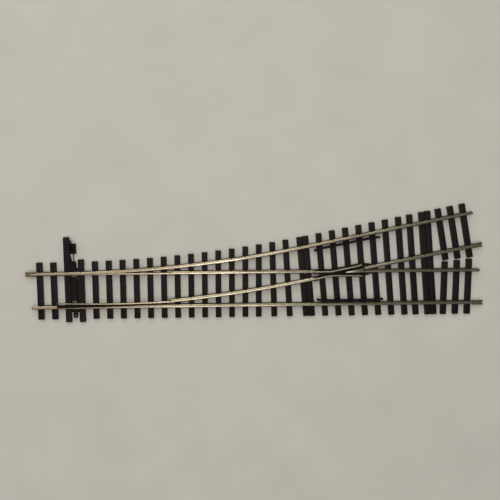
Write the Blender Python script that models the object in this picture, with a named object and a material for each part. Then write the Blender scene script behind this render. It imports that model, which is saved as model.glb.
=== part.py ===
"""A hand-thrown left-hand model railway turnout, built as the assembly it is.

The through track runs along +X from the toe and the branch curves away to +Y. Everything is
laid out in the track's own frame, with X = 0 at the toe rail ends and Y = 0 on the through
centre line, and one empty then moves the whole object so that the middle of its base is at
the origin. The blades stand for the through route.
"""

import math

import bmesh
import bpy
from mathutils import Matrix, Vector

MM = 0.001

# Track plan
GAUGE = 32.0 * MM
THROUGH_LENGTH = 450.0 * MM
BRANCH_LENGTH = 448.5 * MM
BRANCH_RADIUS = 1330.0 * MM
BRANCH_ANGLE = math.radians(11.25)
CURVE_START = 17.0 * MM
FLANGEWAY = 2.5 * MM

# Rail section, flat bottomed
HEAD_WIDTH = 1.6 * MM
WEB_WIDTH = 0.8 * MM
FOOT_WIDTH = 3.4 * MM
RAIL_HEIGHT = 3.3 * MM
FOOT_EDGE = 0.45 * MM
FOOT_RISE = 0.9 * MM
HEAD_DEPTH = 0.8 * MM
HEAD_SLOPE = 0.3 * MM
RAIL_OFFSET = (GAUGE + HEAD_WIDTH) / 2

# Heights of the moulded bed
SLEEPER_TOP = 4.0 * MM
CHAIR_TOP = 5.0 * MM
GAP = 0.3 * MM
FOOT_Z = SLEEPER_TOP + GAP
HEAD_Z = FOOT_Z + RAIL_HEIGHT
STRIP_LOW = 1.0 * MM
STRIP_HIGH = 3.2 * MM
STRIP_WIDTH = 3.8 * MM
BRANCH_RIB_INSET = 0.1 * MM
FLOOR_LOW = 0.4 * MM
FLOOR_HIGH = 1.7 * MM
FLOOR_EDGE = 22.3 * MM
GUSSET = ((41.6 * MM, 22.3 * MM), (40.2 * MM, 29.0 * MM), (38.4 * MM, 36.5 * MM))

# Sleepers
SLEEPER_WIDTH = 5.8 * MM
SLEEPER_PITCH = 13.55 * MM
FIRST_SLEEPER = 8.3 * MM
PLAIN_SLEEPERS = 17
LOW_END = -29.0 * MM
HIGH_REACH = 28.0 * MM
FAN_PITCH = 15.45 * MM
FAN_SLEEPERS = 2
DOUBLE_AFTER_FAN = 19.4 * MM
DOUBLE_SPREAD = 3.1 * MM
CROSSING_GAP = 16.6 * MM
CROSSING_PITCH = 13.65 * MM
CROSSING_SLEEPERS = 7
LAST_CROSSING_STEP = 11.6 * MM
SECOND_DOUBLE_STEP = 15.5 * MM
SHORT_START = 415.0 * MM
SHORT_PITCH = 12.5 * MM
SHORT_SLEEPERS = 3
SPLIT_GAP = 0.9 * MM
HEADBLOCK_LOW = -32.0 * MM
LONG_HEADBLOCK_HIGH = 53.1 * MM
SHORT_HEADBLOCK_HIGH = 30.8 * MM
LONG_HEADBLOCK = 2
SHORT_HEADBLOCK = 3

# How far from the through track's outer rail the branch ribs meet the double planks
TOE_OUTER_REACH = 60.0 * MM
CROSSING_OUTER_REACH = 61.0 * MM
EXIT_OUTER_REACH = 85.0 * MM
EXIT_INNER_REACH = 51.0 * MM

# Holes and slots in the bed, and what is moulded beside the headblocks
FIXING_HOLE_RADIUS = 0.9 * MM
FIXING_HOLES = ((LONG_HEADBLOCK, -29.2 * MM), (SHORT_HEADBLOCK, -29.4 * MM), (SHORT_HEADBLOCK, 27.6 * MM))
FLOOR_SLOT_X = (44.7 * MM, 46.0 * MM)
FLOOR_SLOT_Y = (17.9 * MM, 11.7 * MM)
FLOOR_SLOT_HALF = 0.8 * MM
CROSSING_HOLE_SLEEPER = 2
CROSSING_HOLE_REACH = 70.5 * MM
CROSSING_HOLE_RADIUS = 0.8 * MM
STAND_LUG_Y = (36.4 * MM, 46.6 * MM)
POST_LOW = 0.2 * MM
POST_X = 39.8 * MM
POST_Y = (46.2 * MM, 49.7 * MM)
THROAT_X = (287.0 * MM, 298.0 * MM, 330.0 * MM, 345.0 * MM)

# Chairs that hold the rail foot, and the plates that the blades slide on
CHAIR_WIDTH = 1.2 * MM
CHAIR_LENGTH = 3.2 * MM
CHAIR_BEDDING = 0.5 * MM
CHAIR_SPACING = 1.5 * CHAIR_WIDTH
SLIDE_TOP = 4.5 * MM
SLIDE_LENGTH = 5.0 * MM
SLIDE_OUTER = 14.6 * MM
SLIDE_INNER = 10.5 * MM
SLIDE_PLATES = range(LONG_HEADBLOCK, 9)
HEEL_PAD_HALF = 2.0 * MM

# Switch
BLADE_TIP = 25.5 * MM
BLADE_HEIGHT = 2.8 * MM
BLADE_Z = HEAD_Z - BLADE_HEIGHT
BLADE_TIP_WIDTH = 0.7 * MM
BLADE_WAIST = 52.0 * MM
BLADE_WAIST_WIDTH = 0.75 * MM
BLADE_FULL = 87.0 * MM
BLADE_CLEARANCE = 0.25 * MM
FOOT_CLEAR = 105.0 * MM
HEEL_X = FIRST_SLEEPER + 9 * SLEEPER_PITCH
HEEL_JOINT = 136.9 * MM
JOINT_HALF_GAP = 0.4 * MM
HEEL_PIN_RADIUS = 0.6 * MM
HEEL_PIN_LOW = 1.8 * MM
HEEL_HOLE_LOW = 1.2 * MM
PLANED_BACK = 24.0 * MM
RECESS_INSIDE = 8.0 * MM
THROW = 3.4 * MM

# Tie bar
TIE_X = FIRST_SLEEPER + 2.5 * SLEEPER_PITCH
TIE_WIDTH = 4.4 * MM
TIE_LOW = 2.2 * MM
TIE_HIGH = 3.7 * MM
TIE_TAIL_Y = -25.7 * MM
TIE_DRIVE_Y = 27.3 * MM
TIE_HOLE_RADIUS = 0.9 * MM
TIE_DRIVE_RADIUS = 0.85 * MM
STUD_RADIUS = 0.7 * MM
STUD_LOW = 2.3 * MM
STUD_SHANK_TOP = 5.3 * MM
STUD_HEAD_RADIUS = 1.5 * MM
STUD_HEAD_LOW = 5.1 * MM
STUD_HEAD_TOP = 5.6 * MM
LUG_TOP = BLADE_Z - GAP
LUG_THICKNESS = 0.4 * MM
LUG_INNER = 14.0 * MM
LUG_OUTER = 16.6 * MM
LUG_PIN_Y = 15.3 * MM
LUG_PIN_RADIUS = 0.7 * MM
LUG_PIN_RAISED = 0.2 * MM
PIN_CLEARANCE = 0.35 * MM

# Hand lever on the long headblock
AXLE_Y = 41.6 * MM
AXLE_Z = 4.4 * MM
AXLE_RADIUS = 0.5 * MM
AXLE_ENDS = (38.4 * MM, 44.4 * MM)
LEVER_REST = math.radians(40)
LEVER_SWING = math.radians(100)
CRANK_RADIUS = THROW / (2 * math.sin(LEVER_SWING / 2))
LEVER_X = (40.3 * MM, 41.1 * MM)
LEVER_LENGTH = 9.0 * MM
LEVER_WIDTH = 1.5 * MM
HUB_RADIUS = 1.2 * MM
CRANK_PIN_RADIUS = 0.4 * MM
CRANK_PIN_END = 43.0 * MM
WEIGHT_RADIUS = 1.2 * MM
WEIGHT_REACH = 6.0 * MM
WEIGHT_X = (41.4 * MM, 44.8 * MM)
WEIGHT_PEG_RADIUS = 0.5 * MM
WEIGHT_PEG_SHORT = 0.6 * MM
WEIGHT_CAP = 0.4 * MM
ROD_X = 42.2 * MM
ROD_RADIUS = 0.45 * MM
ROD_EYE_Z = 4.4 * MM
ROD_EYE_HALF = 0.4 * MM
ROD_EYE_RADIUS = 1.9 * MM
ROD_EYE_HOLE = 0.95 * MM
ROD_EYE_OVERLAP = 1.4 * MM
ROD_HIGH_Z = 5.85 * MM
ROD_BENDS = ((33.4 * MM, ROD_EYE_Z), (35.4 * MM, 4.9 * MM), (37.0 * MM, 5.6 * MM), (38.4 * MM, ROD_HIGH_Z))
FORK_HALF = 0.4 * MM
FORK_SLOT = 0.65 * MM
FORK_PRONG = 0.6 * MM
FORK_LOW = 5.3 * MM
FORK_SLOT_TOP = 7.15 * MM
FORK_TOP = 7.75 * MM
STAND_LOW = 2.1 * MM
STAND_PLATE = 2.9 * MM
STAND_HIGH = 6.0 * MM
STAND_X = (38.6 * MM, 44.4 * MM)
STAND_Y = (36.8 * MM, 46.0 * MM)
CHEEK_Y = (39.6 * MM, 43.6 * MM)
CHEEK_LEFT = (38.8 * MM, 39.5 * MM)
CHEEK_RIGHT = (43.2 * MM, 43.9 * MM)
SCREW_Y = (37.9 * MM, 44.9 * MM)
SCREW_X = 40.6 * MM
SCREW_RADIUS = 0.5 * MM
SCREW_LOW = 0.6 * MM
SCREW_HEAD_GAP = 0.15 * MM
STAND_HOLE_LOW = 0.3 * MM
SCREW_HEAD_RADIUS = 0.85 * MM
SCREW_HEAD_HEIGHT = 0.5 * MM
BEARING_CLEARANCE = 0.12 * MM
ROOT = 0.2 * MM

# Crossing
INSULATION_X = 282.4 * MM
INSULATION_HALF_GAP = 0.55 * MM
INSULATION_FIN = 0.25 * MM
INSULATION_LENGTH = 5.4 * MM
FIN_DROP = 0.1 * MM
WING_END = 325.5 * MM
WING_FLARE = 4.0 * MM
FLARE_ANGLE = math.radians(9)
NOSE_SET_BACK = 1.2 * MM
CROSSING_END = 331.4 * MM
FOOT_TRIM_RUN = 2.0 * MM
FOOT_TRIM_DEPTH = 6.0 * MM
GUARD_WIDTH = 2.0 * MM
GUARD_HEIGHT = 3.5 * MM
GUARD_LENGTH = 67.5 * MM
GUARD_FLARE = 6.0 * MM
GUARD_THROUGH_START = 283.6 * MM
GUARD_BRANCH_START = 280.2 * MM
GUARD_OFFSET = HEAD_WIDTH / 2 + FLANGEWAY + GUARD_WIDTH / 2

# Rail joiners
JOINER_LENGTH = 10.4 * MM
HEEL_JOINER_LENGTH = 6.4 * MM
JOINER_WALL = 0.35 * MM
JOINER_LIP = 1.35 * MM
JOINER_HEIGHT = 1.6 * MM

CURVE_STEPS = 26
BLADE_STEPS = 14
TIP_STEPS = 3
TAPER_STEPS = 6
ROUND_SIDES = 20
SMALL_SIDES = 12
WIRE_DETAIL = 2
SOLVER_STEPS = 20
SMOOTH_ANGLE = math.radians(35)
WELD = 1e-4 * MM
SHORTEST_STEP = 0.01 * MM
CUT = 1.0 * MM

# Linear colour, roughness and metallic of each material
LOOKS = {
    "sleeper_plastic": ((0.014, 0.010, 0.011), 0.6, 0.0),
    "nickel_silver_rail": ((0.33, 0.27, 0.15), 0.35, 1.0),
    "joiner_metal": ((0.36, 0.31, 0.20), 0.4, 1.0),
    "black_moulding": ((0.008, 0.008, 0.009), 0.5, 0.0),
    "blackened_steel": ((0.02, 0.02, 0.022), 0.45, 1.0),
    "pin_steel": ((0.35, 0.34, 0.32), 0.35, 1.0),
    "insulator_plastic": ((0.03, 0.025, 0.022), 0.55, 0.0),
}

PARTS = "model_turnout_switch"
CUTTERS = "cutters"


# ---------------------------------------------------------------- track plan


def branch_frame(distance):
    """The point and heading of the branch centre line at a distance along it from the toe."""
    run = distance - CURVE_START
    arc = BRANCH_RADIUS * BRANCH_ANGLE
    if run <= 0:
        return Vector((distance, 0, 0)), 0.0
    turn = min(run, arc) / BRANCH_RADIUS
    across = BRANCH_RADIUS * (1 - math.cos(turn))
    point = Vector((CURVE_START + BRANCH_RADIUS * math.sin(turn), across, 0))
    beyond = max(run - arc, 0)
    return point + beyond * Vector((math.cos(turn), math.sin(turn), 0)), turn


def branch_point(distance, offset):
    """A point beside the branch centre line, positive offsets lying to its left."""
    point, turn = branch_frame(distance)
    return point + offset * Vector((-math.sin(turn), math.cos(turn), 0))


def branch_distance(x, offset):
    """How far along the branch the line at this offset reaches the given X."""
    arc_end = CURVE_START + (BRANCH_RADIUS - offset) * math.sin(BRANCH_ANGLE)
    if x <= CURVE_START:
        return x
    if x <= arc_end:
        return CURVE_START + BRANCH_RADIUS * math.asin((x - CURVE_START) / (BRANCH_RADIUS - offset))
    return CURVE_START + BRANCH_RADIUS * BRANCH_ANGLE + (x - arc_end) / math.cos(BRANCH_ANGLE)


def branch_y(x, offset):
    """The Y of the line at this offset from the branch centre line, at the given X."""
    return branch_point(branch_distance(x, offset), offset).y


def through_path(start, end, y):
    return [Vector((start, y, 0)), Vector((end, y, 0))]


def branch_path(start, end, offset, steps=CURVE_STEPS):
    """Points along the branch at an offset, from one distance to another, bending only on its arc."""
    arc_end = CURVE_START + BRANCH_RADIUS * BRANCH_ANGLE
    first, last = max(start, CURVE_START), min(end, arc_end)
    stops = [start]
    if last > first:
        share = (last - first) / (arc_end - CURVE_START)
        count = max(2, round(steps * share))
        stops += [first + (last - first) * i / count for i in range(count + 1)]
    stops.append(end)
    unique = [stops[0]]
    for stop in stops[1:]:
        if stop - unique[-1] > SHORTEST_STEP:
            unique.append(stop)
    return [branch_point(stop, offset) for stop in unique]


def bisector_y(x):
    """The line midway between the two exit tracks."""
    meet = branch_frame(BRANCH_LENGTH)[0]
    centre_x = meet.x - meet.y / math.tan(BRANCH_ANGLE)
    return (x - centre_x) * math.tan(BRANCH_ANGLE / 2)


def crossing_x():
    """Where the centre lines of the two inner rails cross."""
    lead = branch_distance(CROSSING_END, -RAIL_OFFSET)
    point = branch_point(lead, -RAIL_OFFSET)
    return point.x - (point.y - RAIL_OFFSET) / math.tan(BRANCH_ANGLE)


def wing_knuckle():
    """The X at which the wing rails bend away from the inner rails."""
    return crossing_x() - (FLANGEWAY + HEAD_WIDTH) / math.sin(BRANCH_ANGLE)


# ---------------------------------------------------------------- shape tools


def clear_scene():
    """Removes everything that a new file starts with."""
    for obj in list(bpy.data.objects):
        bpy.data.objects.remove(obj, do_unlink=True)


def collection_named(name):
    collection = bpy.data.collections.new(name)
    bpy.context.scene.collection.children.link(collection)
    return collection


def material(name):
    colour, roughness, metallic = LOOKS[name]
    made = bpy.data.materials.new(name)
    made.use_nodes = True
    shader = made.node_tree.nodes["Principled BSDF"]
    shader.inputs["Base Color"].default_value = (*colour, 1.0)
    shader.inputs["Roughness"].default_value = roughness
    shader.inputs["Metallic"].default_value = metallic
    made.diffuse_color = (*colour, 1.0)
    return made


def new_object(name, mesh, collection=CUTTERS):
    obj = bpy.data.objects.new(name, mesh)
    bpy.data.collections[collection].objects.link(obj)
    if collection == CUTTERS:
        obj.hide_render = True
        obj.display_type = "WIRE"
    return obj


def object_from(bm, name):
    mesh = bpy.data.meshes.new(name)
    bmesh.ops.recalc_face_normals(bm, faces=bm.faces)
    bm.to_mesh(mesh)
    bm.free()
    return new_object(name, mesh)


def add_box(bm, low, high, about=Vector((0, 0, 0)), turn=0.0):
    """A box between two corners, turned about a vertical line through a point."""
    low, high = Vector(low), Vector(high)
    size = high - low
    turned = Matrix.Translation(about) @ Matrix.Rotation(turn, 4, "Z")
    place = turned @ Matrix.Translation((low + high) / 2)
    bmesh.ops.create_cube(bm, size=1.0, matrix=place @ Matrix.Diagonal((*size, 1.0)))


def boxes(name, specs):
    """One helper object that holds separate boxes; each spec is add_box's arguments."""
    bm = bmesh.new()
    for spec in specs:
        add_box(bm, *spec)
    return object_from(bm, name)


def box(name, low, high):
    return boxes(name, [(low, high)])


def cylinder(name, radius, start, end, sides=SMALL_SIDES):
    """A capped cylinder between two points."""
    start, end = Vector(start), Vector(end)
    axis = end - start
    turn = Vector((0, 0, 1)).rotation_difference(axis).to_matrix().to_4x4()
    bm = bmesh.new()
    bmesh.ops.create_cone(
        bm,
        cap_ends=True,
        segments=sides,
        radius1=radius,
        radius2=radius,
        depth=axis.length,
        matrix=Matrix.Translation((start + end) / 2) @ turn,
    )
    return object_from(bm, name)


def meshed(curve_object):
    """The curve object as a mesh object, with its loose caps welded."""
    bpy.context.view_layer.update()
    graph = bpy.context.evaluated_depsgraph_get()
    mesh = bpy.data.meshes.new_from_object(curve_object.evaluated_get(graph))
    bm = bmesh.new()
    bm.from_mesh(mesh)
    bmesh.ops.remove_doubles(bm, verts=bm.verts, dist=WELD)
    bmesh.ops.recalc_face_normals(bm, faces=bm.faces)
    bm.to_mesh(mesh)
    bm.free()
    made = new_object(curve_object.name, mesh)
    made.matrix_world = curve_object.matrix_world
    name = curve_object.name
    bpy.data.objects.remove(curve_object, do_unlink=True)
    made.name = name
    return made


def spline_of(curve, points, closed):
    spline = curve.splines.new("POLY")
    spline.points.add(len(points) - 1)
    for target, point in zip(spline.points, points):
        target.co = (*point, 1.0)
    spline.use_cyclic_u = closed


def outline(name, points, low, high):
    """A flat outline in plan, given thickness between two heights."""
    curve = bpy.data.curves.new(name, "CURVE")
    curve.dimensions = "2D"
    curve.fill_mode = "BOTH"
    curve.extrude = (high - low) / 2
    spline_of(curve, [(point[0], point[1], 0) for point in points], closed=True)
    flat = bpy.data.objects.new(name, curve)
    bpy.data.collections[CUTTERS].objects.link(flat)
    flat.location.z = (low + high) / 2
    return meshed(flat)


def sweep(name, section, path):
    """A closed section carried along a level path; section X lies across it and section Y is up."""
    profile = bpy.data.curves.new(name + "_section", "CURVE")
    profile.dimensions = "2D"
    spline_of(profile, [(x, y, 0) for x, y in section], closed=True)
    profile_object = bpy.data.objects.new(name + "_section", profile)
    bpy.data.collections[CUTTERS].objects.link(profile_object)
    curve = bpy.data.curves.new(name, "CURVE")
    curve.dimensions = "3D"
    curve.twist_mode = "Z_UP"
    curve.bevel_mode = "OBJECT"
    curve.bevel_object = profile_object
    curve.use_fill_caps = True
    spline_of(curve, path, closed=False)
    rail = bpy.data.objects.new(name, curve)
    bpy.data.collections[CUTTERS].objects.link(rail)
    made = meshed(rail)
    bpy.data.objects.remove(profile_object, do_unlink=True)
    return made


def wire(name, radius, path):
    curve = bpy.data.curves.new(name, "CURVE")
    curve.dimensions = "3D"
    curve.bevel_depth = radius
    curve.bevel_resolution = WIRE_DETAIL
    curve.use_fill_caps = True
    spline_of(curve, path, closed=False)
    round_bar = bpy.data.objects.new(name, curve)
    bpy.data.collections[CUTTERS].objects.link(round_bar)
    return meshed(round_bar)


def combine(target, operation, *tools):
    """Adds a Boolean modifier to the target for each tool object."""
    for tool in tools:
        modifier = target.modifiers.new(f"{operation.lower()}_{tool.name}", "BOOLEAN")
        modifier.operation = operation
        modifier.solver = "EXACT"
        modifier.object = tool
    return target


def finish(obj, name, look, smooth=False):
    """Makes an object a part, with its name and its material."""
    obj.name = name
    obj.data.name = name
    bpy.data.collections[CUTTERS].objects.unlink(obj)
    bpy.data.collections[PARTS].objects.link(obj)
    obj.hide_render = False
    obj.display_type = "TEXTURED"
    obj.data.materials.clear()
    obj.data.materials.append(look)
    if smooth:
        obj.data.shade_smooth()
        obj.data.set_sharp_from_angle(angle=SMOOTH_ANGLE)


def set_on_joint(piece, point, turn=0.0):
    """Moves a piece's origin, and its cutters', to its joint and turns them together about it."""
    shift = Matrix.Translation(-point)
    place = Matrix.Translation(point) @ Matrix.Rotation(turn, 4, "Z")
    tools = [modifier.object for modifier in piece.modifiers]
    for obj in [piece, *tools]:
        obj.data.transform(shift @ obj.matrix_world)
        obj.matrix_world = place
    bpy.context.view_layer.update()


# ---------------------------------------------------------------- sections


def rail_section(half_foot=FOOT_WIDTH / 2, low=FOOT_Z):
    """Flat-bottomed rail, from the underside of its foot to the top of its head."""
    half_web, half_head = WEB_WIDTH / 2, HEAD_WIDTH / 2
    right = [
        (half_foot, low),
        (half_foot, low + FOOT_EDGE),
        (half_web, low + FOOT_RISE),
        (half_web, HEAD_Z - HEAD_DEPTH - HEAD_SLOPE),
        (half_head, HEAD_Z - HEAD_DEPTH),
        (half_head, HEAD_Z),
    ]
    return right + [(-x, z) for x, z in reversed(right)]


def planed_section(low):
    """Rail with its foot planed to the head's width, as blades and wing rails have."""
    return rail_section(HEAD_WIDTH / 2, low)


def bar_section(width, low, high):
    return [(width / 2, low), (width / 2, high), (-width / 2, high), (-width / 2, low)]


def joiner_section():
    """A folded clip that wraps the rail foot."""
    low = SLEEPER_TOP - JOINER_WALL
    inner = FOOT_WIDTH / 2 + GAP
    outer = inner + JOINER_WALL
    lip_low = low + JOINER_HEIGHT
    lip_high = lip_low + JOINER_WALL
    right = [
        (outer, low),
        (outer, lip_high),
        (JOINER_LIP, lip_high),
        (JOINER_LIP, lip_low),
        (inner, lip_low),
        (inner, SLEEPER_TOP),
    ]
    return right + [(-x, z) for x, z in reversed(right)]


# ---------------------------------------------------------------- sleeper bed


def sleeper_line(x, turn):
    """A point and direction for a sleeper that crosses the through rail at X."""
    return Vector((x, -RAIL_OFFSET, 0)), Vector((-math.sin(turn), math.cos(turn), 0))


def reach_to_branch(start, direction):
    """How far along a sleeper's line it comes level with its far end beyond the branch."""
    along = 0.0
    for _ in range(SOLVER_STEPS):
        point = start + along * direction
        along += branch_y(point.x, 0.0) + HIGH_REACH - point.y
    return along


def sleeper(x, turn, low_y=LOW_END, high_y=None):
    """One sleeper as (start point, turn, near end, far end), measured along its own line."""
    start, direction = sleeper_line(x, turn)
    near = (low_y - start.y) / direction.y
    far = reach_to_branch(start, direction) if high_y is None else (high_y - start.y) / direction.y
    return start, turn, near, far


def sleeper_box(spec):
    start, turn, near, far = spec
    half = SLEEPER_WIDTH / 2
    return (-half, near, 0), (half, far, SLEEPER_TOP), start, turn


def plain_x(index):
    return FIRST_SLEEPER + index * SLEEPER_PITCH


def toe_sleepers():
    made = []
    for index in range(PLAIN_SLEEPERS):
        if index == LONG_HEADBLOCK:
            made.append(sleeper(plain_x(index), 0, HEADBLOCK_LOW, LONG_HEADBLOCK_HIGH))
        elif index == SHORT_HEADBLOCK:
            made.append(sleeper(plain_x(index), 0, HEADBLOCK_LOW, SHORT_HEADBLOCK_HIGH))
        else:
            made.append(sleeper(plain_x(index), 0))
    turn = BRANCH_ANGLE / 2
    for step in range(1, FAN_SLEEPERS + 1):
        x = plain_x(PLAIN_SLEEPERS - 1) + step * FAN_PITCH
        made.append(sleeper(x, turn * step / (FAN_SLEEPERS + 1)))
    made.append(sleeper(first_double() - DOUBLE_SPREAD, turn))
    return made


def first_double():
    return plain_x(PLAIN_SLEEPERS - 1) + FAN_SLEEPERS * FAN_PITCH + DOUBLE_AFTER_FAN


def last_crossing_sleeper():
    return first_double() + CROSSING_GAP + (CROSSING_SLEEPERS - 1) * CROSSING_PITCH + LAST_CROSSING_STEP


def second_double():
    return last_crossing_sleeper() + SECOND_DOUBLE_STEP


def crossing_sleepers():
    turn = BRANCH_ANGLE / 2
    made = [sleeper(first_double() + DOUBLE_SPREAD, turn)]
    for index in range(CROSSING_SLEEPERS):
        made.append(sleeper(first_double() + CROSSING_GAP + index * CROSSING_PITCH, turn))
    made.append(sleeper(last_crossing_sleeper(), turn))
    made.append(sleeper(second_double() - DOUBLE_SPREAD, turn))
    return made


def exit_sleepers():
    """The second plank of the double sleeper, and the short sleepers of each track beyond it."""
    made = [sleeper(second_double() + DOUBLE_SPREAD, BRANCH_ANGLE / 2)]
    for index in range(SHORT_SLEEPERS):
        distance = SHORT_START + index * SHORT_PITCH
        made.append(sleeper(distance, 0, LOW_END, bisector_y(distance) - SPLIT_GAP))
        centre, turn = branch_frame(distance)
        direction = Vector((-math.sin(turn), math.cos(turn), 0))
        near = 0.0
        for _ in range(SOLVER_STEPS):
            point = centre + near * direction
            near -= point.y - bisector_y(point.x) - SPLIT_GAP
        made.append((centre, turn, near, HIGH_REACH * math.cos(turn)))
    return made


def rail_lines(x, inner_from):
    """(through Y or None, branch offset or None, sides with a chair) for the rails crossed near X."""
    both = (-1, 1)
    lines = [(-RAIL_OFFSET, None, both), (None, RAIL_OFFSET, both)]
    if x < inner_from:
        return lines
    if wing_knuckle() < x < WING_END + WING_FLARE:
        spread = FLANGEWAY + HEAD_WIDTH
        return lines + [(RAIL_OFFSET - spread, None, (-1,)), (None, spread - RAIL_OFFSET, (1,))]
    return lines + [(RAIL_OFFSET, None, both), (None, -RAIL_OFFSET, both)]


def seats_on(start, direction, inner_from):
    """(point, rail heading, distance along the sleeper, sides) for each rail that a sleeper carries."""
    found = []
    middle = start + 2 * RAIL_OFFSET * direction
    for through_y, branch_offset, sides in rail_lines(middle.x, inner_from):
        along = 0.0
        for _ in range(SOLVER_STEPS):
            point = start + along * direction
            level = through_y if branch_offset is None else branch_y(point.x, branch_offset)
            along += level - point.y
        heading = 0.0
        if branch_offset is not None:
            heading = branch_frame(branch_distance(point.x, branch_offset))[1]
        found.append((point, heading, along, sides))
    return found


def chair_boxes(sleepers, blade_zone=None):
    """A shoulder on each side of each rail foot, left out where another rail is too near."""
    specs = []
    reach = FOOT_WIDTH / 2 + GAP + CHAIR_WIDTH / 2
    inner_from = blade_zone[1] if blade_zone else 0.0
    for start, turn, near, far in sleepers:
        direction = Vector((-math.sin(turn), math.cos(turn), 0))
        seats = [seat for seat in seats_on(start, direction, inner_from) if near < seat[2] < far]
        in_blades = blade_zone and blade_zone[0] < start.x < blade_zone[1]
        placed = []
        for point, heading, along, sides in seats:
            for side in sides:
                if in_blades and side * point.y < 0:
                    continue
                centre = along + side * reach
                others = [seat[2] for seat in seats if seat[2] != along]
                if any(abs(centre - other) < reach + CHAIR_WIDTH / 2 for other in others):
                    continue
                if any(abs(centre - other) < CHAIR_SPACING for other in placed):
                    continue
                placed.append(centre)
                low = (-CHAIR_LENGTH / 2, side * reach - CHAIR_WIDTH / 2, SLEEPER_TOP - CHAIR_BEDDING)
                high = (CHAIR_LENGTH / 2, side * reach + CHAIR_WIDTH / 2, CHAIR_TOP)
                specs.append((low, high, point, heading))
    return specs


def strip(name, path, inset=0.0):
    """The moulded rib that ties sleepers together under a rail, shallower by an inset above and below."""
    return sweep(name, bar_section(STRIP_WIDTH, STRIP_LOW + inset, STRIP_HIGH - inset), path)


def branch_strip(name, start_x, end_x, offset):
    start = branch_distance(start_x, offset)
    return strip(name, branch_path(start, branch_distance(end_x, offset), offset), BRANCH_RIB_INSET)


def through_strip(name, start_x, end_x, y):
    return strip(name, through_path(start_x, end_x, y))


def floor_outline():
    """The plate between the headblocks, with the gusset that runs out beside the long one."""
    left = plain_x(LONG_HEADBLOCK)
    right = plain_x(SHORT_HEADBLOCK)
    return [
        (left, -FLOOR_EDGE),
        (right, -FLOOR_EDGE),
        (right, FLOOR_EDGE),
        *GUSSET,
        (left, GUSSET[-1][1]),
    ]


def build_toe_bed(look):
    sleepers = toe_sleepers()
    bed = boxes("bed_toe", [sleeper_box(spec) for spec in sleepers])
    left, right = plain_x(LONG_HEADBLOCK), plain_x(SHORT_HEADBLOCK)
    low_end = first_double() - DOUBLE_SPREAD
    lean = math.tan(BRANCH_ANGLE / 2)
    inner_end = low_end - 2 * RAIL_OFFSET * lean
    strips = [
        through_strip("rib_through_toe", plain_x(0), left, -RAIL_OFFSET),
        through_strip("rib_through", right, low_end, -RAIL_OFFSET),
        through_strip("rib_branch_toe", plain_x(0), left, RAIL_OFFSET),
        branch_strip("rib_branch", right, low_end - TOE_OUTER_REACH * lean, RAIL_OFFSET),
        through_strip("rib_inner_through", HEEL_X, inner_end, RAIL_OFFSET),
        branch_strip("rib_inner_branch", HEEL_X, inner_end, -RAIL_OFFSET),
    ]
    combine(bed, "UNION", *strips)
    blade_zone = (BLADE_TIP, HEEL_X + SLEEPER_WIDTH)
    combine(bed, "UNION", boxes("chairs_toe", chair_boxes(sleepers, blade_zone)))
    combine(bed, "UNION", slide_plates())
    combine(bed, "UNION", outline("floor", floor_outline(), FLOOR_LOW, FLOOR_HIGH))
    lug_high = (STAND_X[1], STAND_LUG_Y[1], STAND_LOW - GAP)
    combine(bed, "UNION", box("lug", (left, STAND_LUG_Y[0], 0), lug_high))
    combine(bed, "UNION", box("post", (left, POST_Y[0], POST_LOW), (POST_X, POST_Y[1], CHAIR_TOP)))
    combine(bed, "DIFFERENCE", *toe_openings())
    finish(bed, "bed_toe", look)


def toe_openings():
    """Cutters for the fixing holes, the floor slots, and the holes for heel pins and screws."""
    cutters = []
    for index, (block, y) in enumerate(FIXING_HOLES):
        x = plain_x(block)
        ends = ((x, y, -CUT), (x, y, SLEEPER_TOP + CUT))
        cutters.append(cylinder(f"fixing_hole_{index}", FIXING_HOLE_RADIUS, *ends))
    for index, y in enumerate(FLOOR_SLOT_Y):
        low = (FLOOR_SLOT_X[0], y - FLOOR_SLOT_HALF, -CUT)
        high = (FLOOR_SLOT_X[1], y + FLOOR_SLOT_HALF, FLOOR_HIGH + CUT)
        cutters.append(box(f"floor_slot_{index}", low, high))
    for index, y in enumerate((RAIL_OFFSET, heel_y())):
        ends = ((HEEL_X, y, HEEL_HOLE_LOW), (HEEL_X, y, CHAIR_TOP + CUT))
        cutters.append(cylinder(f"heel_hole_{index}", HEEL_PIN_RADIUS + PIN_CLEARANCE, *ends))
    for index, y in enumerate(SCREW_Y):
        ends = ((SCREW_X, y, STAND_HOLE_LOW), (SCREW_X, y, STAND_LOW + CUT))
        cutters.append(cylinder(f"stand_hole_{index}", SCREW_RADIUS + BEARING_CLEARANCE, *ends))
    return cutters


def slide_plates():
    """Low plates under each blade, and the pad that carries its heel."""
    specs = []
    base = SLEEPER_TOP - CHAIR_BEDDING
    for index in SLIDE_PLATES:
        x = plain_x(index)
        bow = branch_y(x, -RAIL_OFFSET) + RAIL_OFFSET
        half = SLIDE_LENGTH / 2
        specs.append(((x - half, SLIDE_INNER, base), (x + half, SLIDE_OUTER, SLIDE_TOP)))
        specs.append(((x - half, -SLIDE_OUTER, base), (x + half, -SLIDE_INNER + bow, SLIDE_TOP)))
    for y in (RAIL_OFFSET, heel_y()):
        reach = FOOT_WIDTH / 2
        low = (HEEL_X - HEEL_PAD_HALF, y - reach, base)
        specs.append((low, (HEEL_X + HEEL_PAD_HALF, y + reach, SLIDE_TOP)))
    return boxes("slide_plates", specs)


def heel_y():
    return branch_y(HEEL_X, -RAIL_OFFSET)


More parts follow.
